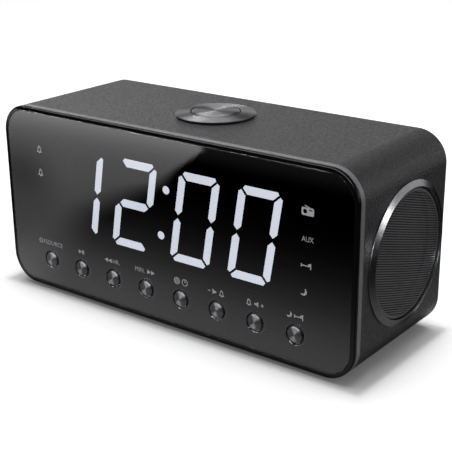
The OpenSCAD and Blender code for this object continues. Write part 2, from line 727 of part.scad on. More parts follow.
module voice_coil() color([0.7, 0.4, 0.2]) translate([0, 0, basket_floor_z - coil_dip]) difference() {
    coil_l = cone_neck_z - basket_floor_z + coil_dip;
    cylinder(r = coil_r + coil_t, h = coil_l);
    translate([0, 0, -cut]) cylinder(r = coil_r, h = coil_l + 2 * cut);
}

module magnet() color([0.3, 0.3, 0.3]) translate([0, 0, basket_floor_z - basket_t]) {
    translate([0, 0, -magnet_t]) difference() {
        cylinder(r = magnet_r, h = magnet_t);
        translate([0, 0, magnet_floor]) cylinder(r = coil_gap_r, h = magnet_t);
    }
    translate([0, 0, magnet_floor - magnet_t]) cylinder(r = pole_r, h = magnet_t - magnet_floor + basket_t);
}

module speaker_screws() color([0.6, 0.6, 0.62]) for (side = [LEFT, RIGHT])
    on_side(side) at_ears() translate([0, 0, basket_z - basket_t]) {
        translate([0, 0, -speaker_head_t]) cylinder(d = speaker_head_d, h = speaker_head_t);
        cylinder(d = speaker_screw_d, h = basket_t + ear_boss_l - slip);
    }

// ---- rear ----
module rear_cover() color([0.12, 0.12, 0.125]) in_body() difference() {
    union() {
        along_y(cover_y, body_d) inner_contour(fit_gap);
        for (x = [-1, 1], z = [-1, 1])
            rod_y(main_post_d, cover_y - main_post_l, cover_y + cut,
                x * main_post_x, main_board_z + z * main_post_z);
    }
    for (p = boss_xz) {
        rod_y(case_screw_d + 2 * slip, cover_y - cut, body_d + cut, p[0], p[1]);
        rod_y(case_head_d + 4 * slip, body_d - case_head_t, body_d + cut, p[0], p[1]);
    }
    for (x = [-1, 1], z = [-1, 1])
        rod_y(front_screw_d, cover_y - main_post_l - cut, cover_y - main_post_l + pilot_l + 1,
            x * main_post_x, main_board_z + z * main_post_z);
    for (i = [0 : vent_count - 1])
        box_at((i - (vent_count - 1) / 2) * vent_pitch, cover_y - cut, vent_z,
            [vent_w, cover_t + 2 * cut, vent_h]);
    rod_y(jack_nose_d + 2 * slip, cover_y - cut, body_d + cut, aux_x, jack_z);
    rod_y(power_nose_d + 2 * slip, cover_y - cut, body_d + cut, power_x, jack_z);
    rod_y(grommet_d, cover_y - cut, body_d + cut, antenna_x, jack_z);
    rod_y(grommet_flange_d, body_d - grommet_flange_t, body_d + cut, antenna_x, jack_z);
    rod_y(tray_mouth_d, cover_y - cut, body_d + cut, tray_x, tray_z);
    rod_y(door_d + 2 * run_gap, body_d - door_t - run_gap, body_d + cut, tray_x, tray_z);
}

module rear_screws() color([0.2, 0.2, 0.2]) in_body() for (p = boss_xz)
    screw_y(case_screw_d, case_head_d, case_head_t - 0.2, body_d - case_head_t,
        cover_t - case_head_t + rear_screw_bite, p[0], p[1]);

module main_board() color([0.05, 0.3, 0.15]) in_body() difference() {
    along_y(main_board_y, main_board_y + board_t) translate([0, main_board_z])
        square([main_board_w, main_board_h], center = true);
    for (x = [-1, 1], z = [-1, 1])
        rod_y(front_screw_d + 2 * slip, main_board_y - cut, main_board_y + board_t + cut,
            x * main_post_x, main_board_z + z * main_post_z);
}

module board_chips() color([0.1, 0.1, 0.11]) in_body() for (c = chips)
    box_at(c[0], main_board_y - c[4], c[1], [c[2], c[4], c[3]]);

module board_capacitors() color([0.15, 0.2, 0.4]) in_body() for (c = capacitors)
    rod_y(capacitor_d, main_board_y - capacitor_l, main_board_y, c[0], c[1]);

module tuner_shield() color([0.7, 0.7, 0.72]) in_body() difference() {
    box_at(shield_x, main_board_y - shield_size[1], shield_z, shield_size);
    box_at(shield_x, main_board_y - shield_size[1] + shield_t, shield_z,
        shield_size - [2 * shield_t, 0, 2 * shield_t]);
}

module aux_jack() color([0.08, 0.08, 0.08]) in_body() difference() {
    union() {
        box_at(aux_x, main_board_y + board_t, jack_z,
            [jack_body[0], cover_y - main_board_y - board_t, jack_body[1]]);
        rod_y(jack_nose_d, cover_y - cut, body_d, aux_x, jack_z);
    }
    rod_y(aux_bore_d, body_d - aux_bore_l, body_d + cut, aux_x, jack_z);
}

module power_jack() color([0.08, 0.08, 0.08]) in_body() {
    difference() {
        union() {
            box_at(power_x, main_board_y + board_t, jack_z,
                [power_body[0], cover_y - main_board_y - board_t, power_body[1]]);
            rod_y(power_nose_d, cover_y - cut, body_d, power_x, jack_z);
        }
        rod_y(power_bore_d, body_d - power_bore_l, body_d + cut, power_x, jack_z);
    }
    rod_y(power_pin_d, body_d - power_bore_l - cut, body_d - cut, power_x, jack_z);
}

// Bush for the wire aerial
module antenna_grommet() color([0.07, 0.07, 0.07]) in_body() difference() {
    union() {
        rod_y(grommet_flange_d, cover_y - grommet_flange_t, cover_y, antenna_x, jack_z);
        rod_y(grommet_d, cover_y - cut, body_d, antenna_x, jack_z);
        rod_y(grommet_flange_d, body_d - grommet_flange_t, body_d, antenna_x, jack_z);
    }
    rod_y(antenna_bore_d, cover_y - grommet_flange_t - cut, body_d + cut, antenna_x, jack_z);
}

module battery_tray() color([0.1, 0.1, 0.105]) in_body() difference() {
    rod_y(tray_d, cover_y - tray_l, cover_y, tray_x, tray_z);
    rod_y(tray_mouth_d, cover_y - tray_l + tray_floor, cover_y + cut, tray_x, tray_z);
}

module coin_cell() color([0.75, 0.75, 0.76]) in_body()
    rod_y(cell_d, cover_y - tray_l + tray_floor, cover_y - tray_floor, tray_x, tray_z);

// Quarter-turn door with a slot for a coin
module battery_door() color([0.12, 0.12, 0.125]) in_body() difference() {
    union() {
        rod_y(door_d, body_d - door_t, body_d, tray_x, tray_z);
        rod_y(cell_d - 3, cover_y - tray_floor + run_gap, body_d - door_t, tray_x, tray_z);
    }
    box_at(tray_x, body_d - coin_slot[1], tray_z, coin_slot + [0, cut, 0]);
}

module board_screws() color([0.6, 0.6, 0.62]) in_body() {
    for (x = key_post_x)
        screw_y(front_screw_d, front_head_d, front_head_t, key_board_end, board_screw_l, x, key_z);
    for (x = [-1, 1], z = [-1, 1])
        screw_y(front_screw_d, front_head_d, front_head_t, display_board_end, board_screw_l,
            x * display_post_x, display_z + z * display_post_z);
    for (x = [-1, 1]) translate([x * snooze_post_x, snooze_y, body_h + snooze_board_z - board_t]) {
        translate([0, 0, -front_head_t]) cylinder(d = front_head_d, h = front_head_t);
        cylinder(d = front_screw_d, h = board_screw_l);
    }
    for (x = [-1, 1], z = [-1, 1]) translate([0, 2 * main_board_y, 0]) mirror([0, 1, 0])
        screw_y(front_screw_d, front_head_d, front_head_t, main_board_y, board_screw_l,
            x * main_post_x, main_board_z + z * main_post_z);
}

// Outline in y and z of a flat cable between two points, bowed by bow at its middle
module ribbon(a, b, bow) {
    steps = 12;
    line = [for (i = [0 : steps]) a + (b - a) * i / steps + bow * sin(180 * i / steps)];
    normal = cross([1, 0, 0], [0, (b - a)[0], (b - a)[1]]) * (ribbon_t / norm(b - a));
    shift = [normal[1], normal[2]];
    translate([-ribbon_w / 2, 0, 0]) rotate([90, 0, 90]) linear_extrude(ribbon_w)
        polygon(concat(line, [for (i = [steps : -1 : 0]) line[i] + shift]));
}

module ribbon_cables() color([0.85, 0.85, 0.8]) in_body() {
    for (y = [display_board_end, main_board_y - plug_t])
        box_at(0, y, ribbon_z, [plug_w, plug_t, plug_h]);
    ribbon([display_board_end + plug_t, ribbon_z], [main_board_y - plug_t, ribbon_z], [0, -ribbon_sag]);
    box_at(0, key_board_end, key_ribbon_z[0], [plug_w, plug_t, plug_h]);
    box_at(0, display_board_end, key_ribbon_z[1], [plug_w, plug_t, plug_h]);
    ribbon([key_board_end + plug_t, key_ribbon_z[0]], [display_board_end + plug_t, key_ribbon_z[1]],
        [key_ribbon_bulge, 0]);
}

module wire_leads() color([0.6, 0.1, 0.1]) in_body() {
    for (side = [LEFT, RIGHT]) mirror([side == LEFT ? 1 : 0, 0, 0]) {
        tube(speaker_route, lead_d / 2, lead_sides);
        lead_end(speaker_route);
    }
    tube(snooze_route, lead_d / 2, lead_sides);
    lead_end(snooze_route);
}

module lead_end(route) let (p = route[len(route) - 1])
    box_at(p[0], main_board_y - lead_plug[1], p[2], lead_plug);

cabinet();
rubber_feet();
front_frame();
frame_screws();
front_rim();
front_lens();
display_housing();
segments_lit();
segments_dark();
display_leds();
display_board();
key_board();
key_switches();
key(0);  // key_source
key(1);  // key_play
key(2);  // key_hour
key(3);  // key_minute
key(4);  // key_clock
key(5);  // key_volume_down
key(6);  // key_volume_up
key(7);  // key_sleep
snooze_ring();
snooze_nut();
snooze_button();
snooze_spring();
snooze_switch();
snooze_board();
board_screws();
on_side(RIGHT) trim_ring();  // right_trim_ring
on_side(RIGHT) grille();  // right_grille
on_side(RIGHT) gasket();  // right_gasket
on_side(RIGHT) basket();  // right_basket
on_side(RIGHT) cone();  // right_cone
on_side(RIGHT) dust_cap();  // right_dust_cap
on_side(RIGHT) voice_coil();  // right_voice_coil
on_side(RIGHT) magnet();  // right_magnet
on_side(LEFT) trim_ring();  // left_trim_ring
on_side(LEFT) grille();  // left_grille
on_side(LEFT) gasket();  // left_gasket
on_side(LEFT) basket();  // left_basket
on_side(LEFT) cone();  // left_cone
on_side(LEFT) dust_cap();  // left_dust_cap
on_side(LEFT) voice_coil();  // left_voice_coil
on_side(LEFT) magnet();  // left_magnet
speaker_screws();
rear_cover();
rear_screws();
main_board();
board_chips();
board_capacitors();
tuner_shield();
aux_jack();
power_jack();
antenna_grommet();
battery_tray();
coin_cell();
battery_door();
ribbon_cables();
wire_leads();
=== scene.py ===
import json
import math

import bmesh
import bpy
from mathutils import Matrix, Vector
from mathutils.geometry import tessellate_polygon


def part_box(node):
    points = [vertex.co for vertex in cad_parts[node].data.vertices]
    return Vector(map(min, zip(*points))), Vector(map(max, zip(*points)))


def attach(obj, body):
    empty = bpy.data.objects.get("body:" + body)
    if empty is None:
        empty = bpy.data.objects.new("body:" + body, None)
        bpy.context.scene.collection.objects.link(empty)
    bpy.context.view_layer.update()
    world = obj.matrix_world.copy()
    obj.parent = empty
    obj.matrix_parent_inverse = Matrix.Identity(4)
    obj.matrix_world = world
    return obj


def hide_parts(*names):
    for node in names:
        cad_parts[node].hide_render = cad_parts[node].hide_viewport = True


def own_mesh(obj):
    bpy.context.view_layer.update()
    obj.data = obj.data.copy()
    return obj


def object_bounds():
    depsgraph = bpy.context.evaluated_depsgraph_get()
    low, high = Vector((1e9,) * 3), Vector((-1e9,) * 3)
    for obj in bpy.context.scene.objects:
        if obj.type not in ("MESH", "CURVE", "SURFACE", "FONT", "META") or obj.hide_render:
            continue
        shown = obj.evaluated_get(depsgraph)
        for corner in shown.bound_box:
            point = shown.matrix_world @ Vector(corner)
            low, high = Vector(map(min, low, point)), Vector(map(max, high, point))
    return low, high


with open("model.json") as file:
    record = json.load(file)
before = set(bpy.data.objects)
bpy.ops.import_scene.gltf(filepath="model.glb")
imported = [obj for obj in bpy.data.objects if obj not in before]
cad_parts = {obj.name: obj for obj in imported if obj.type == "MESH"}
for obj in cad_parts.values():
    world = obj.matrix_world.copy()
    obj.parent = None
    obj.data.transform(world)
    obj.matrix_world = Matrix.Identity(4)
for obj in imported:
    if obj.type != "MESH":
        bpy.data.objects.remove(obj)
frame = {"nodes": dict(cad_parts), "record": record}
cad_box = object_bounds()

MM = 0.001

# Places that the frame gives
RIM_LOW, RIM_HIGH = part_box("front_rim")
CABINET_LOW, CABINET_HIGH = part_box("cabinet")
LENS_LOW, LENS_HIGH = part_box("front_lens")
FRONT_Y = RIM_LOW.y
BACK_Y = CABINET_HIGH.y
BODY_W = RIM_HIGH.x - RIM_LOW.x
BODY_H = RIM_HIGH.z - RIM_LOW.z
MIDDLE = Vector(((RIM_LOW.x + RIM_HIGH.x) / 2, 0, (RIM_LOW.z + RIM_HIGH.z) / 2))
BASE_Z = RIM_LOW.z
TOP_Z = RIM_HIGH.z
LENS_Y = LENS_LOW.y

# Sizes that the frame doesn't show
CORNER_R = 14.9 * MM
WALL = 3 * MM
RIM_W = 2 * MM
GROOVE = 0.5 * MM
KEY_R = 3.9 * MM
KEY_HOLE_R = 4.7 * MM
KEY_WELL_R = 5.75 * MM
SNOOZE_COLLAR_R = 14 * MM
FIT = 0.15 * MM                         # gap round what slides into the cabinet
SEGMENT_TRIM = 0.2 * MM                 # taken off each lit segment all round
SEGMENT_GAP = 0.1 * MM                  # between the lens's back and the lit faces
GRILLE_LEAN = math.radians(17)          # of the holes' rows
INK_LAYER = (0.004 * MM, 0.03 * MM)     # heights above the lens

KEYS = ["key_source", "key_play", "key_hour", "key_minute", "key_clock", "key_volume_down", "key_volume_up",
        "key_sleep"]
QUARTERS = [(1, 1), (-1, 1), (-1, -1), (1, -1)]


# ---------------------------------------------------------------- numbers

def ease(value, start, end):
    """0 up to start, 1 from end on, and a smooth rise between them."""
    t = min(1.0, max(0.0, (value - start) / (end - start)))
    return t * t * (3 - 2 * t)


def between(points, at, column):
    """The column's value at a place along a table of points."""
    for a, b in zip(points, points[1:]):
        if at <= b[0]:
            t = max(0.0, (at - a[0]) / (b[0] - a[0]))
            return a[column] * (1 - t) + b[column] * t
    return points[-1][column]


# ---------------------------------------------------------------- outlines

def arc(x, y, r, start, end, steps):
    """Points on an arc about (x, y), from start to end in degrees."""
    angles = [math.radians(start + (end - start) * i / steps) for i in range(steps + 1)]
    return [(x + r * math.cos(a), y + r * math.sin(a)) for a in angles]


def circle(x, y, r, steps=48):
    return arc(x, y, r, 0, 360, steps)[:-1]


def rounded_rect(w, h, r, steps=10, x=0.0, y=0.0):
    points = []
    for k, (sx, sy) in enumerate(QUARTERS):
        points += arc(x + sx * (w / 2 - r), y + sy * (h / 2 - r), r, 90 * k, 90 * k + 90, steps)
    return points


def filleted(points, radius, closed=False, steps=4):
    """The outline with each corner rounded. radius is one number, or one for each point."""
    radii = radius if isinstance(radius, (list, tuple)) else [radius] * len(points)
    made = []
    for i, point in enumerate(points):
        corner = Vector(point)
        if not closed and i in (0, len(points) - 1) or radii[i] <= 0:
            made.append(tuple(corner))
            continue
        before = Vector(points[i - 1]) - corner
        after = Vector(points[(i + 1) % len(points)]) - corner
        half = before.angle(after) / 2
        back = min(radii[i] / math.tan(half), 0.45 * before.length, 0.45 * after.length)
        a, b = corner + before.normalized() * back, corner + after.normalized() * back
        for k in range(steps + 1):
            t = k / steps
            made.append(tuple(a * (1 - t) ** 2 + corner * 2 * t * (1 - t) + b * t ** 2))
    return made


# ---------------------------------------------------------------- meshes

SHARP_ANGLE = math.radians(32)
WELD = 1e-7
LOOSE_WELD = 1e-6
own_pieces = []


def close_up(bm):
    """Welds, and faces outwards."""
    bmesh.ops.remove_doubles(bm, verts=bm.verts, dist=WELD)
    bmesh.ops.recalc_face_normals(bm, faces=bm.faces)


def mesh_of(name, bm):
    """A mesh made from bm, which is used up."""
    mesh = bpy.data.meshes.new(name)
    bm.to_mesh(mesh)
    bm.free()
    return mesh


def in_scene(name, data):
    """An object of that name that shows data."""
    obj = bpy.data.objects.new(name, data)
    bpy.context.scene.collection.objects.link(obj)
    return obj


def piece(name, bm, body, slot, replaces=()):
    """Turns bm into an object that rides on body, smooth but for its sharp edges."""
    close_up(bm)
    for face in bm.faces:
        face.smooth = True
    for edge in bm.edges:
        edge.smooth = len(edge.link_faces) == 2 and edge.calc_face_angle(0) < SHARP_ANGLE
    obj = in_scene(name, mesh_of(name, bm))
    obj.data.materials.append(MATERIALS[slot])
    own_pieces.append(obj)
    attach(obj, body)
    if replaces:
        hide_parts(*replaces)
    return obj


def keep_flats_flat():
    """Shading normals follow the larger faces, so that a rounded edge doesn't bend the flat beside it."""
    for obj in own_pieces:
        modifier = obj.modifiers.new("flats", "WEIGHTED_NORMAL")
        modifier.keep_sharp = True
        modifier.weight = 90
    graph = bpy.context.evaluated_depsgraph_get()
    shaded = [bpy.data.meshes.new_from_object(obj.evaluated_get(graph), depsgraph=graph)
              for obj in own_pieces]
    for obj, mesh in zip(own_pieces, shaded):
        obj.modifiers.clear()
        mesh.name = obj.name
        obj.data = mesh


def bridge(bm, a, b, closed=True):
    """Quads between two loops of as many vertices."""
    n = len(a)
    for i in range(n if closed else n - 1):
        j = (i + 1) % n
        corners = []
        for v in (a[i], a[j], b[j], b[i]):
            if v not in corners:
                corners.append(v)
        if len(corners) > 2:
            bm.faces.new(corners)


def swept_frame(profile, w, h, r, steps=12):
    """A closed profile of (inset, y) carried round a rounded rectangle w by h."""
    bm = bmesh.new()
    loops = []
    for inset, y in profile:
        outline = rounded_rect(w - 2 * inset, h - 2 * inset, r - inset, steps)
        loops.append([bm.verts.new((MIDDLE.x + x, y, MIDDLE.z + z)) for x, z in outline])
    for a, b in zip(loops, loops[1:] + loops[:1]):
        bridge(bm, a, b)
    return bm


def lathe(profile, place, closed=False, steps=96):
    """A profile of (r, t) turned about place's local Z axis."""
    bm = bmesh.new()
    loops = []
    for r, t in profile:
        if r < WELD:
            loops.append([bm.verts.new(place @ Vector((0, 0, t)))] * steps)
        else:
            loops.append([bm.verts.new(place @ Vector((x, y, t))) for x, y in circle(0, 0, r, steps)])
    pairs = zip(loops, loops[1:] + loops[:1]) if closed else zip(loops, loops[1:])
    for a, b in pairs:
        bridge(bm, a, b)
    return bm


def slab(outline, holes, depths, place, edge=0.0, steps=3):
    """A plate between two depths along local Z, with rounded edges. outline and each hole are
    functions that give their loop for an inset."""
    low, high = depths
    rounding = [(edge * (1 - math.sin(a)), low + edge * (1 - math.cos(a)))
                for a in (math.pi / 2 * k / steps for k in range(steps + 1))] if edge else [(0, low)]
    levels = rounding + [(inset, low + high - t) for inset, t in reversed(rounding)]
    bm = bmesh.new()
    stacks = []
    for make in [outline, *holes]:
        loops = [[bm.verts.new(place @ Vector((x, y, t))) for x, y in make(inset)] for inset, t in levels]
        stacks.append(loops)
        for a, b in zip(loops, loops[1:]):
            bridge(bm, a, b)
    for end in (0, -1):
        rings = [stack[end] for stack in stacks]
        flat = [v for ring in rings for v in ring]
        inverse = place.inverted()
        for triangle in tessellate_polygon([[(inverse @ v.co).xy.to_3d() for v in ring] for ring in rings]):
            if len(set(triangle)) == 3:
                bm.faces.new([flat[i] for i in triangle])
    return bm


def joined(*parts):
    """One bmesh of several."""
    whole = bmesh.new()
    for part in parts:
        mesh = mesh_of("part", part)
        whole.from_mesh(mesh)
        bpy.data.meshes.remove(mesh)
    return whole


def cut_away(bm, tools):
    """bm less each of the tools, all closed."""
    objects = []
    for k, part in enumerate([bm, *tools]):
        close_up(part)
        objects.append(in_scene(f"cut{k}", mesh_of(f"cut{k}", part)))
    body = objects[0]
    for tool in objects[1:]:
        modifier = body.modifiers.new("cut", "BOOLEAN")
        modifier.operation = "DIFFERENCE"
        modifier.solver = "EXACT"
        modifier.object = tool
    evaluated = body.evaluated_get(bpy.context.evaluated_depsgraph_get())
    result = bmesh.new()
    result.from_mesh(evaluated.to_mesh())
    evaluated.to_mesh_clear()
    for obj in objects:
        mesh = obj.data
        bpy.data.objects.remove(obj)
        bpy.data.meshes.remove(mesh)
    return result


def axes(x, y, z, origin):
    """A place whose local X, Y and Z axes lie along these directions."""
    rotation = Matrix((x, y, z)).transposed().to_4x4()
    return Matrix.Translation(origin) @ rotation


def facing_front(origin):
    """Local X to the right, Y up and Z out of the front."""
    return axes((1, 0, 0), (0, 0, 1), (0, -1, 0), origin)


def centre_of(node):
    low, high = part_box(node)
    return (low + high) / 2


def radius_of(node):
    """Radius of a node that is round about X or Z."""
    low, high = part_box(node)
    return max(high.x - low.x, high.z - low.z) / 2


# ---------------------------------------------------------------- materials

class Shader:
    """A material's node tree, with its Principled BSDF at hand."""

    def __init__(self, name, color, roughness, metallic=0.0, **sockets):
        self.material = bpy.data.materials.new(name)
        self.material.use_nodes = True
        self.material.diffuse_color = (*color, 1)
        self.nodes = self.material.node_tree.nodes
        self.links = self.material.node_tree.links
        self.bsdf = self.nodes["Principled BSDF"]
        self.color = color
        self.roughness = roughness
        self.set("Base Color", (*color, 1))
        self.set("Roughness", roughness)
        self.set("Metallic", metallic)
        for socket, value in sockets.items():
            self.set(socket.replace("_", " "), value)
        self.place = self.add("ShaderNodeTexCoord").outputs["Object"]
        self.normal = None

    def set(self, socket, value):
        self.bsdf.inputs[socket].default_value = value

    def add(self, kind, **settings):
        node = self.nodes.new(kind)
        for key, value in settings.items():
            setattr(node, key, value)
        return node

    def link(self, a, b):
        self.links.new(a, b)

    def noise(self, scale, detail=3.0, stretch=(1, 1, 1)):
        """Noise with features about 1 / scale metres across."""
        mapping = self.add("ShaderNodeMapping")
        mapping.inputs["Scale"].default_value = stretch
        self.link(self.place, mapping.inputs["Vector"])
        node = self.add("ShaderNodeTexNoise")
        node.inputs["Scale"].default_value = scale
        node.inputs["Detail"].default_value = detail
        self.link(mapping.outputs["Vector"], node.inputs["Vector"])
        return node.outputs["Fac"]

    def cells(self, scale):
        """Rounded cells about 1 / scale metres across."""
        node = self.add("ShaderNodeTexVoronoi")
        node.inputs["Scale"].default_value = scale
        self.link(self.place, node.inputs["Vector"])
        return node.outputs["Distance"]

    def spread(self, value, low, high, start=0.3, end=0.7):
        """Goes from low to high as value goes from start to end."""
        node = self.add("ShaderNodeMapRange")
        for socket, number in (("From Min", start), ("From Max", end), ("To Min", low), ("To Max", high)):
            node.inputs[socket].default_value = number
        self.link(value, node.inputs["Value"])
        return node.outputs["Result"]

    def vary_color(self, value, amount):
        """Base colour from darker to lighter by amount as value goes from 0.3 to 0.7."""
        mix = self.add("ShaderNodeMix", data_type="RGBA")
        mix.inputs["A"].default_value = (*[c * (1 - amount) for c in self.color], 1)
        mix.inputs["B"].default_value = (*[min(1, c * (1 + amount)) for c in self.color], 1)
        self.link(self.spread(value, 0, 1), mix.inputs["Factor"])
        self.link(mix.outputs["Result"], self.bsdf.inputs["Base Color"])

    def vary_roughness(self, value, amount):
        low, high = max(0.02, self.roughness - amount), min(1, self.roughness + amount)
        self.link(self.spread(value, low, high), self.bsdf.inputs["Roughness"])

    def bump(self, height, depth):
        """Relief of depth metres, over any that was set before."""
        node = self.add("ShaderNodeBump")
        node.inputs["Distance"].default_value = depth
        self.link(height, node.inputs["Height"])
        if self.normal:
            self.link(self.normal, node.inputs["Normal"])
        self.normal = node.outputs["Normal"]
        self.link(self.normal, self.bsdf.inputs["Normal"])


def moulded(name, color, roughness, grain=1400, depth=0.00002):
    """Moulded plastic or rubber: fine grain, with slightly uneven tone and gloss."""
    s = Shader(name, color, roughness)
    s.vary_color(s.noise(45), 0.12)
    s.vary_roughness(s.noise(160), 0.05)
    s.bump(s.noise(grain, 2), depth)
    return s.material


def cabinet_plastic():
    """Charcoal shell with a pebbled grain about a millimetre across, and a finer one over it."""
    s = Shader("cabinet_plastic", (0.033, 0.033, 0.035), 0.42)
    s.vary_color(s.noise(900, 2), 0.45)
    s.vary_roughness(s.noise(700, 1), 0.08)
    s.bump(s.noise(850, 2), 0.0004)
    s.bump(s.cells(2000), 0.00008)
    return s.material


def gloss(name, color, roughness, **sockets):
    """Polished plastic, with a trace of waviness."""
    s = Shader(name, color, roughness, **sockets)
    s.vary_color(s.noise(30), 0.1)
    s.vary_roughness(s.noise(220), 0.015)
    s.bump(s.noise(25, 1), 0.000004)
    return s.material


def spun(name, color, axis, roughness, anisotropic):
    """Metal turned about an axis through its middle: fine rings stretch the highlights."""
    s = Shader(name, color, roughness, metallic=1.0, Anisotropic=anisotropic, Anisotropic_Rotation=0.25)
    tangent = s.add("ShaderNodeTangent", direction_type="RADIAL", axis=axis)
    s.link(tangent.outputs["Tangent"], s.bsdf.inputs["Tangent"])
    s.vary_color(s.noise(500, 2), 0.1)
    s.vary_roughness(s.noise(3800, 2), 0.06)
    return s.material


def metal(name, color, roughness=0.3):
    """Plain metal with faint blotches and scratches."""
    s = Shader(name, color, roughness, metallic=1.0)
    s.vary_color(s.noise(300), 0.12)
    s.vary_roughness(s.noise(900, 4, (1, 1, 8)), 0.08)
    s.bump(s.noise(1500, 3, (1, 1, 6)), 0.000006)
    return s.material


def smoked_lens():
    """Dark transparent acrylic."""
    s = Shader("smoked_lens", (0.10, 0.103, 0.11), 0.0, Transmission_Weight=1.0, IOR=1.49)
    s.vary_color(s.noise(12), 0.02)
    s.bump(s.noise(14, 1), 0.000002)
    return s.material


def lit_segment():
    """White light guide that shines out of its front and not its sides."""
    s = Shader("segment_lit", (0.05, 0.05, 0.055), 0.5, Emission_Color=(0.92, 0.95, 1.0, 1))
    facing = s.add("ShaderNodeSeparateXYZ")
    s.link(s.add("ShaderNodeNewGeometry").outputs["True Normal"], facing.inputs[0])
    face = s.spread(facing.outputs["Y"], 1, 0, -0.8, -0.6)
    shine = s.add("ShaderNodeMath", operation="MULTIPLY")
    s.link(face, shine.inputs[0])
    s.link(s.spread(s.noise(60, 1), 7.2, 7.4), shine.inputs[1])
    s.link(shine.outputs[0], s.bsdf.inputs["Emission Strength"])
    return s.material


def printed(name, color):
    """Silk-screened ink."""
    s = Shader(name, color, 0.55)
    s.vary_color(s.noise(2500, 2), 0.08)
    return s.material


def circuit_board():
    """Green solder mask over copper tracks."""
    s = Shader("circuit_board", (0.012, 0.09, 0.035), 0.32, Coat_Weight=0.4)
    tracks = s.noise(420, 0, (1, 0.12, 0.12))
    s.vary_color(tracks, 0.35)
    s.bump(tracks, 0.00002)
    return s.material


MATERIALS = {
    "cabinet_plastic": cabinet_plastic(),
    "frame_plastic": moulded("frame_plastic", (0.16, 0.16, 0.164), 0.36, depth=0.000006),
    "gloss_black": gloss("gloss_black", (0.004, 0.004, 0.005), 0.1, Specular_IOR_Level=0.12),
    "lens": smoked_lens(),
    "black_plastic": moulded("black_plastic", (0.014, 0.014, 0.015), 0.5),
    "segment_lit": lit_segment(),
    "segment_dark": moulded("segment_dark", (0.055, 0.055, 0.06), 0.6),
    "led": gloss("led", (0.7, 0.68, 0.55), 0.2),
    "circuit_board": circuit_board(),
    "chip": moulded("chip", (0.02, 0.02, 0.021), 0.55),
    "capacitor": gloss("capacitor", (0.03, 0.05, 0.14), 0.25),
    "key_metal": spun("key_metal", (0.06, 0.06, 0.063), "Y", roughness=0.40, anisotropic=0.95),
    "spun_metal": spun("spun_metal", (0.24, 0.24, 0.25), "Z", roughness=0.42, anisotropic=0.9),
    "trim_metal": spun("trim_metal", (0.24, 0.24, 0.25), "X", roughness=0.22, anisotropic=0.0),
    "screw_steel": metal("screw_steel", (0.45, 0.45, 0.46)),
    "black_screw": metal("black_screw", (0.03, 0.03, 0.031), 0.38),
    "spring_steel": metal("spring_steel", (0.5, 0.5, 0.52), 0.22),
    "grille_metal": moulded("grille_metal", (0.15, 0.15, 0.155), 0.36, grain=3000, depth=0.00001),
    "basket_steel": metal("basket_steel", (0.22, 0.22, 0.23), 0.4),
    "magnet": moulded("magnet", (0.05, 0.05, 0.052), 0.7),
    "paper": moulded("paper", (0.03, 0.03, 0.031), 0.85, grain=2600, depth=0.00006),
    "copper": metal("copper", (0.6, 0.28, 0.14), 0.3),
    "rubber": moulded("rubber", (0.015, 0.015, 0.015), 0.75),
    "cell_steel": metal("cell_steel", (0.6, 0.6, 0.61), 0.25),
    "shield_steel": metal("shield_steel", (0.5, 0.5, 0.51), 0.35),
    "wire": gloss("wire", (0.3, 0.02, 0.02), 0.35),
    "ribbon": moulded("ribbon", (0.6, 0.6, 0.55), 0.45),
    "legend_ink": printed("legend_ink", (0.42, 0.425, 0.44)),
}


def dress_cad_nodes():
    for row in frame["record"]["subparts"]:
        mesh = frame["nodes"][row["node"]].data
        mesh.materials.clear()
        mesh.materials.append(MATERIALS[row["material_slot"]])


# ---------------------------------------------------------------- case

def speaker_place(side):
    """Local Z out of the right (1) or left (-1) wall, from the speaker's centre on the wall."""
    low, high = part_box("right_trim_ring")
    origin = Vector((side * BODY_W / 2, (low.y + high.y) / 2, (low.z + high.z) / 2))
    return axes((0, side, 0), (0, 0, 1), (side, 0, 0), origin)


def top_place():
    """Local Z up, from the snooze ring's centre on the cabinet's top."""
    centre = centre_of("snooze_ring")
    return Matrix.Translation((centre.x, centre.y, TOP_Z))


def make_cabinet():
    """Open sleeve with a round hole for each speaker and one for the snooze ring's collar."""
    front, back = CABINET_LOW.y, BACK_Y
    profile = filleted(
        [(0, front), (0, back), (WALL, back), (WALL, front)],
        [0.35 * MM, 0.9 * MM, 0.2 * MM, 0.2 * MM], closed=True)
    sleeve = swept_frame(profile, BODY_W, BODY_H, CORNER_R, 24)
    deep, proud = -6 * MM, 2 * MM
    speaker_hole_r = radius_of("right_grille") - 0.9 * MM
    tools = [lathe([(0, deep), (r, deep), (r, proud), (0, proud)], place)
             for r, place in ((speaker_hole_r, speaker_place(1)), (speaker_hole_r, speaker_place(-1)),
                              (SNOOZE_COLLAR_R, top_place()))]
    piece("cabinet_shell", cut_away(sleeve, tools), "root", "cabinet_plastic", ["cabinet"])


def key_centres():
    return [centre_of(name) for name in KEYS]


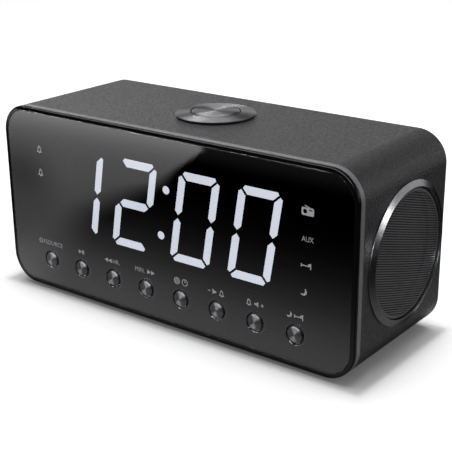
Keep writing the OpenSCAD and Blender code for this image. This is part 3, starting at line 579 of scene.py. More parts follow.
def make_front_frame():
    """The satin band, its inner skirt and the wall behind the lens, in one moulding."""
    rim_back = RIM_HIGH.y
    band_back = CABINET_LOW.y
    wall_back = rim_back + 2.4 * MM
    skirt_back = band_back + 4.5 * MM
    inner = WALL + FIT
    profile = filleted([
        (GROOVE, rim_back), (GROOVE, rim_back + GROOVE), (0, rim_back + GROOVE), (0, band_back),
        (inner, band_back), (inner, skirt_back), (inner + 2 * MM, skirt_back), (inner + 2 * MM, rim_back),
    ], [0.05 * MM, 0.05 * MM, 0.3 * MM, 0.25 * MM, 0.1 * MM, 0.3 * MM, 0.3 * MM, 0], closed=True)
    band = swept_frame(profile, BODY_W, BODY_H, CORNER_R, 24)
    low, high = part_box("display_housing")
    margin = 0.2 * MM
    window_w, window_h = high.x - low.x + 2 * margin, high.z - low.z + 2 * margin
    window_z = (low.z + high.z) / 2 - MIDDLE.z
    holes = [lambda i: rounded_rect(window_w + 2 * i, window_h + 2 * i, 1 * MM, 4, 0, window_z)]
    for c in key_centres():
        holes.append(lambda i, c=c: circle(c.x, c.z - MIDDLE.z, KEY_WELL_R + i))
    edge = inner + 1.5 * MM
    w, h = BODY_W - 2 * edge, BODY_H - 2 * edge
    wall = slab(lambda i: rounded_rect(w - 2 * i, h - 2 * i, CORNER_R - edge), holes,
                (0, wall_back - rim_back), facing_front((MIDDLE.x, wall_back, MIDDLE.z)), 0.1 * MM)
    piece("front_frame_shell", joined(band, wall), "root", "frame_plastic", ["front_frame"])


def make_front_rim():
    back = RIM_HIGH.y
    profile = filleted(
        [(0, FRONT_Y), (0, back), (RIM_W, back), (RIM_W, FRONT_Y)],
        [0.5 * MM, 0.12 * MM, 0, 0.12 * MM], closed=True, steps=8)
    bm = swept_frame(profile, BODY_W, BODY_H, CORNER_R, 24)
    piece("front_rim_gloss", bm, "root", "gloss_black", ["front_rim"])


def make_lens():
    """The panel's edge is rounded less across than in depth."""
    w, h = LENS_HIGH.x - LENS_LOW.x, LENS_HIGH.z - LENS_LOW.z
    r = CORNER_R - RIM_W - 0.1 * MM
    across = 0.6
    holes = [lambda i, c=c: circle(c.x, c.z - MIDDLE.z, KEY_HOLE_R + i, 64) for c in key_centres()]
    place = facing_front((MIDDLE.x, LENS_HIGH.y, MIDDLE.z))
    bm = slab(lambda i: rounded_rect(w - 2 * across * i, h - 2 * across * i, r - across * i, 24), holes,
              (0, LENS_HIGH.y - LENS_LOW.y), place, 0.3 * MM, 4)
    piece("lens_panel", bm, "root", "lens", ["front_lens"])


def make_digits():
    """The lit segments, each trimmed all round so that clear gaps part them, with their tops in place."""
    source = frame["nodes"]["segments_lit"]
    low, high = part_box("segments_lit")
    outlines = bmesh.new()
    outlines.from_mesh(source.data)
    outlines.transform(source.matrix_world)
    bmesh.ops.remove_doubles(outlines, verts=outlines.verts, dist=LOOSE_WELD)
    front_y = low.y + 0.1 * MM
    not_front = [f for f in outlines.faces if f.normal.y > -0.9 or f.calc_center_median().y > front_y]
    bmesh.ops.delete(outlines, geom=not_front, context="FACES")
    bmesh.ops.dissolve_limit(outlines, angle_limit=0.01, verts=outlines.verts[:], edges=outlines.edges[:])
    trimmed = bmesh.ops.inset_individual(outlines, faces=outlines.faces[:], thickness=SEGMENT_TRIM,
                                         use_even_offset=True)
    bmesh.ops.delete(outlines, geom=trimmed["faces"], context="FACES")
    bm = bmesh.new()
    for face in outlines.faces:
        rings = [[bm.verts.new((v.co.x, y, v.co.z + SEGMENT_TRIM)) for v in face.verts]
                 for y in (low.y + SEGMENT_GAP, high.y)]
        bridge(bm, *rings)
        for ring in rings:
            bm.faces.new(ring)
    outlines.free()
    piece("segments_lit_faces", bm, "root", "segment_lit", ["segments_lit"])


def make_key(name):
    """Key with a dished spun face, a bevel, a retaining flange and a stem."""
    low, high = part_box(name)
    centre = (low + high) / 2
    proud = LENS_Y - low.y
    flange_r = radius_of(name)
    stem_r = 1.75 * MM
    flange = [-1.85 * MM, -2.55 * MM]
    profile = filleted([
        (0, proud), (KEY_R - 0.8 * MM, proud - 0.12 * MM), (KEY_R, proud - 0.52 * MM), (KEY_R, flange[0]),
        (flange_r, flange[0]), (flange_r, flange[1]), (stem_r, flange[1]), (stem_r, LENS_Y - high.y),
        (0, LENS_Y - high.y),
    ], 0.09 * MM)
    bm = lathe(profile, facing_front((centre.x, LENS_Y, centre.z)), steps=72)
    piece(name + "_cap", bm, name, "key_metal", [name])


def make_snooze_ring():
    """Turned ring, with a black lip under its edge that paints the shade in the gap there, and a black
    sleeve in its bore.
    """
    place = top_place()
    low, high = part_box("snooze_ring")
    outer = radius_of("snooze_ring")
    crest = high.z - TOP_Z
    bottom = low.z - TOP_Z
    bore, collar_bore, collar = 12.5 * MM, 12.0 * MM, SNOOZE_COLLAR_R
    ring = filleted([
        (bore, crest), (outer, 1.4 * MM), (outer, 1.0 * MM), (outer - 1.3 * MM, 0.7 * MM),
        (outer - 1.3 * MM, 0), (collar, 0), (collar, bottom), (collar_bore, bottom), (collar_bore, 0),
        (bore, 0),
    ], [0.22 * MM, 0.3 * MM, 0.12 * MM] + [0.05 * MM] * 7, closed=True, steps=5)
    piece("snooze_ring_turned", lathe(ring, place, closed=True, steps=160), "root", "spun_metal",
          ["snooze_ring"])
    # painted shade: a black lip fills the gap under the ring's edge, where shade falls
    lip = [(outer - 1.2 * MM, 0.02 * MM), (outer - 0.5 * MM, 0.02 * MM), (outer - 0.22 * MM, 0.98 * MM),
           (outer - 1.2 * MM, 0.98 * MM)]
    inside, outside, top = bore - 0.35 * MM, bore + 0.02 * MM, crest - 0.3 * MM
    sleeve = [(inside, 0.05 * MM), (outside, 0.05 * MM), (outside, top), (inside, top)]
    for name, outline in (("snooze_ring_lip", lip), ("snooze_ring_sleeve", sleeve)):
        bm = lathe(filleted(outline, 0.05 * MM, closed=True), place, closed=True, steps=160)
        piece(name, bm, "root", "black_plastic")


def make_snooze_button():
    """Dished cap with a flange at its foot and a stem that meets the switch."""
    low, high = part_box("snooze_button")
    top = high.z - TOP_Z
    stem_end = low.z - TOP_Z
    r = 11.7 * MM
    stem_r = 2.1 * MM
    skin = 1.4 * MM
    roof = top - skin - 0.3 * MM
    foot = [-4.9 * MM, -6.1 * MM]
    flange_r = radius_of("snooze_button")
    profile = filleted([
        (0, top - 0.25 * MM), (r - 0.9 * MM, top), (r, top - 0.6 * MM), (r, foot[0]), (flange_r, foot[0]),
        (flange_r, foot[1]), (r - skin, foot[1]), (r - skin, roof), (stem_r, roof), (stem_r, stem_end),
        (0, stem_end),
    ], 0.15 * MM)
    piece("snooze_button_turned", lathe(profile, top_place(), steps=144), "snooze_button", "spun_metal",
          ["snooze_button"])


def make_spring():
    """Coil with closed ends, between the switch board and the snooze button."""
    low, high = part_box("snooze_spring")
    centre = (low + high) / 2
    wire = 0.38 * MM
    mean = (high.x - low.x) / 2 - wire - 0.02 * MM
    turns, steps, sides = 6, 32, 10
    bm = bmesh.new()
    loops = []
    for k in range(turns * steps + 1):
        a = math.tau * k / steps
        z = low.z + wire + (high.z - low.z - 2 * wire) * ease(k / (turns * steps), -0.04, 1.04)
        turn = Matrix.Translation((centre.x, centre.y, z)) @ Matrix.Rotation(a, 4, "Z")
        loops.append([bm.verts.new(turn @ Vector((mean + x, 0, y))) for x, y in circle(0, 0, wire, sides)])
    for a, b in zip(loops, loops[1:]):
        bridge(bm, a, b)
    for end in (0, -1):
        bm.faces.new(loops[end])
    return piece("snooze_spring_coil", bm, "root", "spring_steel", ["snooze_spring"])


def squash_spring(spring):
    """Gives the coil a mesh of its own."""
    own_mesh(spring)


def perforated_disc(radius, pitch, hole, thickness, crown, top, place):
    """Crowned disc of oblong holes in straight rows, each with its corners cut. The holes' sides and
    the disc's back take the second material."""
    bm = bmesh.new()
    count = int(radius / pitch) + 1

    def height(x, y):
        return top + crown * (1 - (x * x + y * y) / (radius * radius))

    def add(points, drop):
        return [bm.verts.new((x, y, height(x, y) - drop)) for x, y in points]

    half_w, half_h = hole[0] / 2, hole[1] / 2
    cut = 0.3 * half_h
    notched = [(half_w, half_h - cut), (half_w - cut, half_h)]
    for row in range(-count, count + 1):
        for col in range(-count, count + 1):
            x, y = col * pitch, row * pitch
            if math.hypot(x, y) > radius:
                continue
            corners, rim = [], []
            for sx, sy in QUARTERS:
                corners.append((x + sx * pitch / 2, y + sy * pitch / 2))
                points = [(x + sx * u, y + sy * v) for u, v in notched]
                rim += points if sx * sy > 0 else points[::-1]
            rings = []
            for drop in (0.0, thickness):
                outer = [v for v in add(corners, drop) for _ in range(2)]
                rings.append((outer, add(rim, drop)))
            bridge(bm, *rings[0])
            faces_in_front = len(bm.faces)
            bridge(bm, *rings[1])
            bridge(bm, rings[0][1], rings[1][1])
            bm.faces.ensure_lookup_table()
            for face in bm.faces[faces_in_front:]:
                face.material_index = 1
    bmesh.ops.remove_doubles(bm, verts=bm.verts, dist=LOOSE_WELD)
    bm.transform(place)
    return bm


def make_speaker(side, name):
    """Trim ring and grille on the right (1) or left (-1) wall."""
    place = speaker_place(side)
    outer = radius_of(name + "_trim_ring")
    crest = 2.0 * MM
    bore = outer - 3.3 * MM
    ring = filleted([
        (bore, -WALL), (bore, crest), (bore + 0.4 * MM, crest), (outer, 0.8 * MM), (outer, 0.0),
        (bore + 0.8 * MM, 0.0), (bore + 0.8 * MM, -WALL),
    ], [0.05 * MM, 0.12 * MM, 0.16 * MM, 0.15 * MM, 0, 0.05 * MM, 0.05 * MM], closed=True, steps=5)
    piece(name + "_trim_turned", lathe(ring, place, closed=True, steps=192), "root", "trim_metal",
          [name + "_trim_ring"])
    flange_r = radius_of(name + "_grille")
    mesh_r = 29.9 * MM
    top = 0.9 * MM
    sheet = 0.8 * MM
    rolled = filleted([
        (mesh_r - 1.3 * MM, top), (mesh_r, top - 0.35 * MM), (mesh_r, -WALL), (flange_r, -WALL),
        (flange_r, -WALL - sheet), (mesh_r - sheet, -WALL - sheet), (mesh_r - sheet, top - sheet),
        (mesh_r - 1.3 * MM, top - 0.6 * MM),
    ], [0, 0.5 * MM, 0.1 * MM, 0.1 * MM, 0.1 * MM, 0.1 * MM, 0.3 * MM, 0], closed=True, steps=5)
    border = lathe(rolled, place, closed=True, steps=144)
    disc = perforated_disc(radius=mesh_r - 1.0 * MM, pitch=1.1 * MM, hole=(1.02 * MM, 0.74 * MM),
                           thickness=0.25 * MM, crown=1.2 * MM, top=top - 0.05 * MM,
                           place=place @ Matrix.Rotation(-side * GRILLE_LEAN, 4, "Z"))
    grille = piece(name + "_grille_mesh", joined(border, disc), "root", "grille_metal", [name + "_grille"])
    grille.data.materials.append(MATERIALS["black_plastic"])


# ---------------------------------------------------------------- legends

def legend(name, shapes):
    """Printed sign of flat shapes on the lens. A shape is an outline and its holes, in millimetres
    from the middle of the lens across and from the cabinet's underside up."""
    place = facing_front((MIDDLE.x, LENS_Y, BASE_Z))
    parts = []
    for shape in shapes:
        loops = [[(x * MM, y * MM) for x, y in loop] for loop in shape]
        makers = [lambda i, loop=loop: loop for loop in loops]
        parts.append(slab(makers[0], makers[1:], INK_LAYER, place))
    piece("legend_" + name, joined(*parts), "root", "legend_ink")


def lettering(name, words, left, right, z, height=2.3):
    """Printed word between two edges, its strokes thinned a little. z is the middle of its capitals."""
    curve = bpy.data.curves.new(name, "FONT")
    curve.body = words
    curve.resolution_u = 3
    curve.offset = -0.004
    obj = in_scene(name, curve)
    bpy.context.view_layer.update()
    mesh = bpy.data.meshes.new_from_object(obj)
    bpy.data.objects.remove(obj)
    bpy.data.curves.remove(curve)
    bm = bmesh.new()
    bm.from_mesh(mesh)
    bpy.data.meshes.remove(mesh)
    xs = [v.co.x for v in bm.verts]
    ys = [v.co.y for v in bm.verts]
    sx = (right - left) / (max(xs) - min(xs))
    sy = height / (max(ys) - min(ys))
    place = facing_front((MIDDLE.x, LENS_Y, BASE_Z))
    for v in bm.verts:
        x = left + (v.co.x - min(xs)) * sx
        y = z - height / 2 + (v.co.y - min(ys)) * sy
        v.co = place @ Vector((x * MM, y * MM, INK_LAYER[0]))
    made = bmesh.ops.extrude_face_region(bm, geom=bm.faces[:])
    lift = Vector((0, INK_LAYER[0] - INK_LAYER[1], 0))
    bmesh.ops.translate(bm, vec=lift, verts=[g for g in made["geom"] if isinstance(g, bmesh.types.BMVert)])
    piece("legend_" + name, bm, "root", "legend_ink")


def ring_shape(x, y, r, width):
    return [circle(x, y, r, 32), circle(x, y, r - width, 32)]


def box_shape(x0, y0, x1, y1):
    return [[(x0, y0), (x1, y0), (x1, y1), (x0, y1)]]


def bar_shape(a, b, width):
    """Straight stroke from a to b."""
    a, b = Vector(a), Vector(b)
    side = (b - a).normalized().orthogonal() * (width / 2)
    return [[tuple(p) for p in (a - side, b - side, b + side, a + side)]]


def arrow_shape(x, y, size, way=1):
    """Solid triangle that points right (1) or left (-1)."""
    half = size / 2
    return [[(x - way * half, y - half), (x + way * half, y), (x - way * half, y + half)]]


def bell_shapes(x, y, size):
    """Outlined bell with its clapper below, about 3.4 wide and 4 high at size 1."""
    half = [(0, 2.05), (0.42, 1.75), (0.95, 1.15), (1.15, 0.2), (1.22, -0.55), (1.7, -1.2), (1.7, -1.45)]
    hollow = [(0, 1.35), (0.5, 0.85), (0.66, 0.1), (0.74, -0.6), (0.86, -0.98)]
    loops = [[(x + size * a, y + size * b) for a, b in side]
             + [(x - size * a, y + size * b) for a, b in reversed(side[1:])] for side in (half, hollow)]
    clapper = arc(x, y - 1.5 * size, 0.5 * size, 180, 360, 8)
    return [loops, [clapper]]


def moon_shapes(x, y, r):
    """Crescent whose horns point up and to the left."""
    outer = arc(x - 0.15 * r, y + 0.15 * r, r, -140, 60, 20)
    inner = arc(x - 0.62 * r, y + 0.55 * r, 0.98 * r, 28, -112, 16)
    return [[outer + inner]]


def bed_shapes(x, y, w):
    """Bed seen from the side, its headboard on the right."""
    x0, x1 = x - w / 2, x + w / 2
    return [
        box_shape(x1 - 0.5, y - 1.4, x1, y + 1.4),
        box_shape(x0, y - 0.9, x0 + 0.5, y + 0.7),
        box_shape(x0 + 0.5, y - 0.35, x1 - 0.5, y + 0.15),
        [[(x1 - 1.9, y + 0.15), (x1 - 0.5, y + 0.15), (x1 - 0.5, y + 1.1), (x1 - 1.3, y + 1.0)]],
    ]


def speaker_shapes(x, y, way):
    """Loudspeaker whose horn opens to the right (1) or left (-1)."""
    body = [(x - way * 1.25, y - 0.5), (x - way * 0.4, y - 0.5), (x + way * 0.95, y - 1.35),
            (x + way * 0.95, y + 1.35), (x - way * 0.4, y + 0.5), (x - way * 1.25, y + 0.5)]
    return [[body]]


def radio_shapes(x, y):
    """Portable radio: case, dial, tuning window and aerial."""
    case = [rounded_rect(6.2, 3.6, 0.6, 5, x, y - 0.3), circle(x - 1.35, y - 0.3, 1.0, 24),
            [(x + 0.6, y + 0.2), (x + 2.3, y + 0.2), (x + 2.3, y + 0.75), (x + 0.6, y + 0.75)]]
    return [case, bar_shape((x - 1.5, y + 2.3), (x + 1.2, y + 1.45), 0.4)]


def make_legends():
    """The signs above the keys, from left to right, and those up the lens's two sides."""
    row = 25.1
    power = [arc(-84.9, row, 1.25, 130, 410, 24) + arc(-84.9, row, 0.85, 410, 130, 24)]
    legend("power", [power, bar_shape((-84.9, row + 0.2), (-84.9, row + 1.6), 0.4),
                     bar_shape((-83.0, row - 1.2), (-82.2, row + 1.2), 0.4)])
    lettering("source", "SOURCE", -81.4, -68.9, row)
    legend("play_pause", [arrow_shape(-56.2, row, 2.2), box_shape(-54.9, row - 1.1, -54.4, row + 1.1),
                          box_shape(-54.0, row - 1.1, -53.5, row + 1.1)])
    legend("back", [arrow_shape(-37.95, row, 2.3, -1), arrow_shape(-35.5, row, 2.3, -1)])
    lettering("hour", "HR.", -33.5, -29.0, row)
    lettering("minute", "MIN.", -18.6, -12.6, row)
    legend("forward", [arrow_shape(-9.65, row, 2.3), arrow_shape(-7.2, row, 2.3)])
    legend("clock", [ring_shape(12.75, row, 1.8, 0.42),
                     bar_shape((12.75, row - 0.1), (12.75, row + 1.15), 0.36),
                     bar_shape((12.65, row), (13.55, row + 0.5), 0.36)])
    legend("display", [ring_shape(7.95, row, 1.8, 0.4), ring_shape(7.95, row, 1.05, 0.36),
                       [circle(7.95, row, 0.34, 16)]])
    legend("volume_down", [box_shape(26.7, row - 0.22, 28.3, row + 0.22), *speaker_shapes(30.4, row, -1)])
    legend("alarm_down", bell_shapes(34.75, row, 0.86))
    legend("alarm_up", bell_shapes(50.35, row, 0.86))
    legend("volume_up", [*speaker_shapes(54.7, row, 1), box_shape(57.0, row - 0.2, 58.6, row + 0.2),
                         box_shape(57.6, row + 0.2, 58.0, row + 0.8),
                         box_shape(57.6, row - 0.8, 58.0, row - 0.2)])
    legend("moon_key", moon_shapes(72.5, row, 1.55))
    legend("bed_key", bed_shapes(77.4, row, 4.8))
    legend("alarm_one", bell_shapes(-81.5, 74.9, 1.02))
    legend("alarm_two", bell_shapes(-81.6, 62.7, 1.02))
    legend("radio", radio_shapes(81.2, 74.9))
    lettering("aux", "AUX", 78.4, 84.4, 62.2, 2.4)
    legend("bed", bed_shapes(80.75, 50.1, 5.3))
    legend("moon", moon_shapes(79.9, 37.4, 1.8))


# ---------------------------------------------------------------- back and feet

def make_rear_cover():
    """Panel with round holes for what shows through it, and a row of upright vents."""
    inset = WALL + FIT
    thickness = 3 * MM
    screw_r, screw_hole_r = 2.8 * MM, 3.0 * MM
    vents, vent_pitch, vent_w, vent_h = 12, 4.4 * MM, 2 * MM, 22 * MM
    vent_z = BASE_Z + 66 * MM - MIDDLE.z

    def hole(centre, radius):
        return lambda i: circle(centre.x - MIDDLE.x, centre.z - MIDDLE.z, radius + i, 48)

    w, h, r = BODY_W - 2 * inset, BODY_H - 2 * inset, CORNER_R - inset
    holes = [hole(centre_of("battery_door"), 13.2 * MM), hole(centre_of("aux_jack"), 3.1 * MM),
             hole(centre_of("power_jack"), 4.1 * MM), hole(centre_of("antenna_grommet"), 4.5 * MM)]
    low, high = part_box("rear_screws")
    for x in (low.x + screw_r, high.x - screw_r):
        for z in (low.z + screw_r, high.z - screw_r):
            holes.append(hole(Vector((x, 0, z)), screw_hole_r))
    for k in range(vents):
        x = (k - (vents - 1) / 2) * vent_pitch
        holes.append(lambda i, x=x: rounded_rect(vent_w + 2 * i, vent_h + 2 * i, vent_w / 2 + i, 5,
                                                 x, vent_z))
    bm = slab(lambda i: rounded_rect(w - 2 * i, h - 2 * i, r - i, 16), holes, (0, thickness),
              facing_front((MIDDLE.x, BACK_Y, MIDDLE.z)), 0.35 * MM)
    piece("rear_cover_panel", bm, "root", "black_plastic", ["rear_cover"])


def make_feet():
    """Four round feet, each with a shallow dish underneath."""
    low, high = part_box("rubber_feet")
    r, tall, dish = 6.5 * MM, high.z - low.z, 0.35 * MM
    profile = filleted([
        (0, dish), (2.6 * MM, dish), (3.2 * MM, 0), (r - 0.5 * MM, 0), (r, 0.5 * MM), (r, tall), (0, tall),
    ], 0.25 * MM)
    feet = [lathe(profile, Matrix.Translation((x, y, low.z)), steps=48)
            for x in (low.x + r, high.x - r) for y in (low.y + r, high.y - r)]
    piece("feet_moulded", joined(*feet), "root", "rubber", ["rubber_feet"])


# ---------------------------------------------------------------- stage

# How bright the room looks in a mirror, by the upward part of the ray's direction
MIRRORED_SKY = [(0, 1.0), (0.12, 0.95), (0.19, 0.78), (0.24, 0.36), (0.30, 0.13), (0.40, 0.07), (1, 0.05)]
SKY_FILL = 0.24
# How bright the table looks in a mirror, by its distance from the object: a painted reflection, nearly
# black right beside the object as a painted shadow
FLOOR_PAINTED_REFLECTION = [(0, 0.03), (0.003, 0.12), (0.006, 0.6), (0.009, 1.0), (0.020, 0.95), (0.041, 0.69),
              (0.062, 0.39), (0.081, 0.22), (0.101, 0.108), (0.123, 0.047), (0.148, 0.014), (0.175, 0)]
# The share of that on the right of the object, a painted shadow in the reflection there
FLOOR_RIGHT_PAINTED_SHADOW = 0.22
# How much the table is brightened where the camera sees it, by the same distance: less close to the object,
# a painted contact shadow
FLOOR_LIFT_PAINTED_SHADOW = [(0, 0.06), (0.001, 0.10), (0.002, 0.18), (0.003, 0.29), (0.004, 0.36), (0.006, 0.435),
              (0.008, 0.47), (0.010, 0.50), (0.014, 0.535), (0.020, 0.55), (0.03, 0.55)]
FLOOR_GREY = 0.86
CAMERA_AT = Vector((0.3131, -0.39475, 0.2239))
CAMERA_TURN = math.radians(37.71)
CAMERA_TILT = math.radians(19.895)
CAMERA_ROLL = math.radians(-0.5635)
CAMERA_LENS = 85.12
# Name, size, power, place and target of each lamp that lights by way of reflections alone
STRIPS = [
    ("high_strip", (1.1, 0.10), 3.0, (-0.78, -0.54, 0.85), (-0.78, 0, 0.05)),
    ("low_strip", (1.5, 0.22), 40.0, (-0.45, -0.95, 0.36), (-0.45, 0, 0.02)),
    ("back_left", (0.3, 0.3), 2.4, (-0.72, 0.44, 0.92), (0, 0, 0.1)),
    ("right_strip", (0.10, 0.30), 0.9, (0.95, 0.42, 0.12), (0.1, 0, 0.06)),
]
SHEEN_GAP = 5 * MM
SHEEN_POWER = 19.0
# Height on the front, how far right the gleam reaches there, and how softly it ends, in millimetres
SHEEN_EDGE = [(12, -86, 50), (24, -75, 50), (34, -66, 42), (42, -59, 38), (50, -52, 38), (58, -37, 44),
              (66, -21, 36), (74, -2, 16), (82, 8, 6), (94, 25, 2)]


def math_node(tree, operation, a, b):
    """A sum on two values, each a number or a socket."""
    node = tree.nodes.new("ShaderNodeMath")
    node.operation = operation
    for socket, value in zip(node.inputs, (a, b)):
        if isinstance(value, (int, float)):
            socket.default_value = value
        else:
            tree.links.new(value, socket)
    return node.outputs[0]


def vector_node(tree, operation, a, b=None):
    """The same on a vector, with b a fixed vector where the operation takes one."""
    node = tree.nodes.new("ShaderNodeVectorMath")
    node.operation = operation
    tree.links.new(a, node.inputs[0])
    if b:
        node.inputs[1].default_value = b
    return node


def smooth_step(tree, value, start, end, low, high):
    node = tree.nodes.new("ShaderNodeMapRange")
    node.interpolation_type = "SMOOTHSTEP"
    tree.links.new(value, node.inputs["Value"])
    for socket, number in (("From Min", start), ("From Max", end), ("To Min", low), ("To Max", high)):
        node.inputs[socket].default_value = number
    return node.outputs["Result"]


def ramp(tree, value, levels):
    """A level that follows value through a table of (value, level) from 0 up."""
    end = levels[-1][0]
    node = tree.nodes.new("ShaderNodeValToRGB")
    tree.links.new(math_node(tree, "DIVIDE", value, end), node.inputs["Fac"])
    stops = node.color_ramp.elements
    for place, level in levels:
        stop = stops[0] if place == 0 else stops[-1] if place == end else stops.new(place / end)
        stop.color = (level, level, level, 1)
    return node.outputs["Color"]


def seen_rays(tree):
    """1 for camera rays, and 1 for rays that come by way of a mirror or a lens."""
    path = tree.nodes.new("ShaderNodeLightPath")
    other = math_node(tree, "MAXIMUM", path.outputs["Is Glossy Ray"], path.outputs["Is Transmission Ray"])
    return path.outputs["Is Camera Ray"], other


def axis_of(tree, vector, axis):
    node = tree.nodes.new("ShaderNodeSeparateXYZ")
    tree.links.new(vector, node.inputs[0])
    return node.outputs[axis]


def plain_diffuse(tree, grey):
    node = tree.nodes.new("ShaderNodeBsdfDiffuse")
    node.inputs["Color"].default_value = (grey, grey, grey, 1)
    return node.outputs[0]


def staged(name, bm, material_name):
    """An object of the stage, whose material's tree is still empty."""
    obj = in_scene(name, mesh_of(name, bm))
    material = bpy.data.materials.new(material_name)
    material.use_nodes = True
    material.node_tree.nodes.clear()
    obj.data.materials.append(material)
    return obj, material.node_tree


def show_with_glow(tree, shader, strength):
    """Ends the tree with the shader and a white glow added to it."""
    output = tree.nodes.new("ShaderNodeOutputMaterial")
    emission = tree.nodes.new("ShaderNodeEmission")
    add = tree.nodes.new("ShaderNodeAddShader")
    tree.links.new(strength, emission.inputs["Strength"])
    tree.links.new(shader, add.inputs[0])
    tree.links.new(emission.outputs[0], add.inputs[1])
    tree.links.new(add.outputs[0], output.inputs["Surface"])


def make_world():
    """White where it is seen. Mirrored rays find it white near the horizon and dim overhead, and
    other rays find a plain fill light."""
    world = bpy.data.worlds.new("studio")
    bpy.context.scene.world = world
    world.use_nodes = True
    tree = world.node_tree
    background = tree.nodes["Background"]
    direct, mirrored = seen_rays(tree)
    upward = axis_of(tree, tree.nodes.new("ShaderNodeTexCoord").outputs["Generated"], "Z")
    other = math_node(tree, "SUBTRACT", 1, math_node(tree, "MAXIMUM", direct, mirrored))
    in_mirrors = math_node(tree, "MULTIPLY", mirrored, ramp(tree, upward, MIRRORED_SKY))
    strength = math_node(tree, "ADD", direct, in_mirrors)
    strength = math_node(tree, "ADD", strength, math_node(tree, "MULTIPLY", other, SKY_FILL))
    tree.links.new(strength, background.inputs["Strength"])
    background.inputs["Color"].default_value = (1, 1, 1, 1)


def make_floor():
    """White table top, with a painted contact shadow beside the object. In mirrors it shows a painted
    reflection that fades with distance from the object, with a painted shadow beside it and on its right.
    """
    bm = bmesh.new()
    bmesh.ops.create_grid(bm, x_segments=1, y_segments=1, size=4)
    _, tree = staged("floor", bm, "floor_white")
    direct, mirrored = seen_rays(tree)
    place = tree.nodes.new("ShaderNodeNewGeometry").outputs["Position"]
    high = cad_box[1]
    absolute = vector_node(tree, "ABSOLUTE", place)
    beyond = vector_node(tree, "SUBTRACT", absolute.outputs[0], (high.x, high.y, 0))
    outside = vector_node(tree, "MAXIMUM", beyond.outputs[0], (0, 0, 0))
    distance = vector_node(tree, "LENGTH", outside.outputs[0]).outputs["Value"]
    across = axis_of(tree, place, "X")
    # painted reflection of the table, dimmed on the object's right as a painted shadow
    share = smooth_step(tree, across, high.x - 10 * MM, high.x + 10 * MM, 1.0, FLOOR_RIGHT_PAINTED_SHADOW)
    fade = math_node(tree, "MULTIPLY", ramp(tree, distance, FLOOR_PAINTED_REFLECTION), share)
    # painted contact shadow: the table is brightened less close to the object
    lift = math_node(tree, "MULTIPLY", direct, ramp(tree, distance, FLOOR_LIFT_PAINTED_SHADOW))
    glow = math_node(tree, "ADD", lift, math_node(tree, "MULTIPLY", mirrored, fade))
    # mirrors see no lit table here, only the painted reflection
    shade = tree.nodes.new("ShaderNodeMixShader")
    tree.links.new(mirrored, shade.inputs["Fac"])
    tree.links.new(plain_diffuse(tree, FLOOR_GREY), shade.inputs[1])
    tree.links.new(plain_diffuse(tree, 0), shade.inputs[2])
    show_with_glow(tree, shade.outputs[0], glow)


def make_camera():
    """Stands where the photo was taken from."""
    data = bpy.data.cameras.new("camera")
    data.sensor_width = 36
    data.lens = CAMERA_LENS
    turn, tilt, roll = CAMERA_TURN, CAMERA_TILT, CAMERA_ROLL
    ahead = Vector((-math.sin(turn) * math.cos(tilt), math.cos(turn) * math.cos(tilt), -math.sin(tilt)))
    level = Vector((math.cos(turn), math.sin(turn), 0))
    upright = level.cross(ahead)
    right = math.cos(roll) * level + math.sin(roll) * upright
    up = -math.sin(roll) * level + math.cos(roll) * upright
    obj = in_scene("camera", data)
    obj.matrix_world = axes(right, up, -ahead, CAMERA_AT)
    bpy.context.scene.camera = obj


def light(name, size, power, location, target):
    data = bpy.data.lights.new(name, "AREA")
    data.shape = "RECTANGLE"
    data.size, data.size_y = size
    data.energy = power
    obj = in_scene(name, data)
    obj.location = location
    obj.rotation_euler = (Vector(target) - Vector(location)).to_track_quat("-Z", "Y").to_euler()
    return obj


def make_lights():
    """The low strip leaves out the cabinet, the back and the snooze parts, which it would whiten from
    behind."""
    light("overhead", (1.2, 1.3), 12.0, (-0.1, 0.14, 1.3), (0, 0, 0.05))
    lamps = {}
    for row in STRIPS:
        lamps[row[0]] = light(*row)
        lamps[row[0]].visible_diffuse = False
    shiny = bpy.data.collections.new("lit_by_low_strip")
    for obj in own_pieces:
        if not obj.name.startswith(("cabinet", "rear", "snooze")):
            shiny.objects.link(obj)
    lamps["low_strip"].light_linking.receiver_collection = shiny


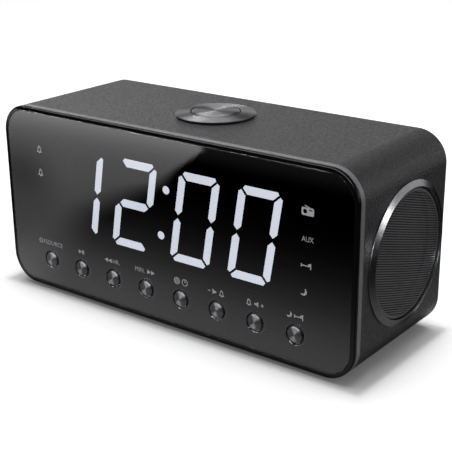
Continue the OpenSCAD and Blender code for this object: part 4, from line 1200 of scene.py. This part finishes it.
def sheen(x, z):
    """How bright the gleam is at a place on the front, in millimetres from its middle and the floor.
    It grows towards the top, dips at the left, and a faint rim runs along the top edge."""
    reach, softness = between(SHEEN_EDGE, z, 1), between(SHEEN_EDGE, z, 2)
    share = 1 - ease(x, reach - softness / 2, reach + softness / 2)
    level = 0.034 + 0.030 * ease(z, 30, 74) + 0.090 * math.exp((z - 94) / 8)
    dip = 1 - 0.5 * math.exp(-((z - 63) / 16) ** 2) * ease(-x, 60, 96)
    return share * level * dip + 0.006 * ease(z, 86, 95)


def make_sheen():
    """Card close to the front, seen only as the slanted gleam on the left of the lens. Each of its
    points lies on a line from the mirrored camera through a place on the lens."""
    eye = Vector((CAMERA_AT.x, 2 * LENS_Y - CAMERA_AT.y, CAMERA_AT.z))
    stretch = 1 + SHEEN_GAP / (LENS_Y - CAMERA_AT.y)
    bm = bmesh.new()
    glow = bm.verts.layers.float.new("glow")
    step = 2 * MM
    width, height = LENS_HIGH.x - LENS_LOW.x, LENS_HIGH.z - LENS_LOW.z
    columns, rows = int(width / step), int(height / step)
    grid = []
    for r in range(rows + 1):
        z = LENS_LOW.z + height * r / rows
        grid.append([])
        for c in range(columns + 1):
            x = LENS_LOW.x + width * c / columns
            vert = bm.verts.new(eye + (Vector((x, LENS_Y, z)) - eye) * stretch)
            vert[glow] = sheen((x - MIDDLE.x) / MM, z / MM)
            grid[-1].append(vert)
    for a, b in zip(grid, grid[1:]):
        bridge(bm, a, b, closed=False)
    obj, tree = staged("sheen_card", bm, "sheen_glow")
    obj.visible_camera = False
    obj.visible_diffuse = False
    obj.visible_transmission = False
    obj.visible_shadow = False
    level = tree.nodes.new("ShaderNodeAttribute")
    level.attribute_name = "glow"
    strength = math_node(tree, "MULTIPLY", level.outputs["Fac"], SHEEN_POWER)
    show_with_glow(tree, tree.nodes.new("ShaderNodeBsdfTransparent").outputs[0], strength)


bpy.context.scene.view_settings.view_transform = "Standard"
make_camera()
dress_cad_nodes()
make_cabinet()
make_front_frame()
make_front_rim()
make_lens()
make_digits()
for key_name in KEYS:
    make_key(key_name)
make_snooze_ring()
make_snooze_button()
snooze_spring = make_spring()
make_speaker(1, "right")
make_speaker(-1, "left")
make_legends()
make_rear_cover()
make_feet()
keep_flats_flat()
squash_spring(snooze_spring)
make_world()
make_floor()
make_sheen()
make_lights()
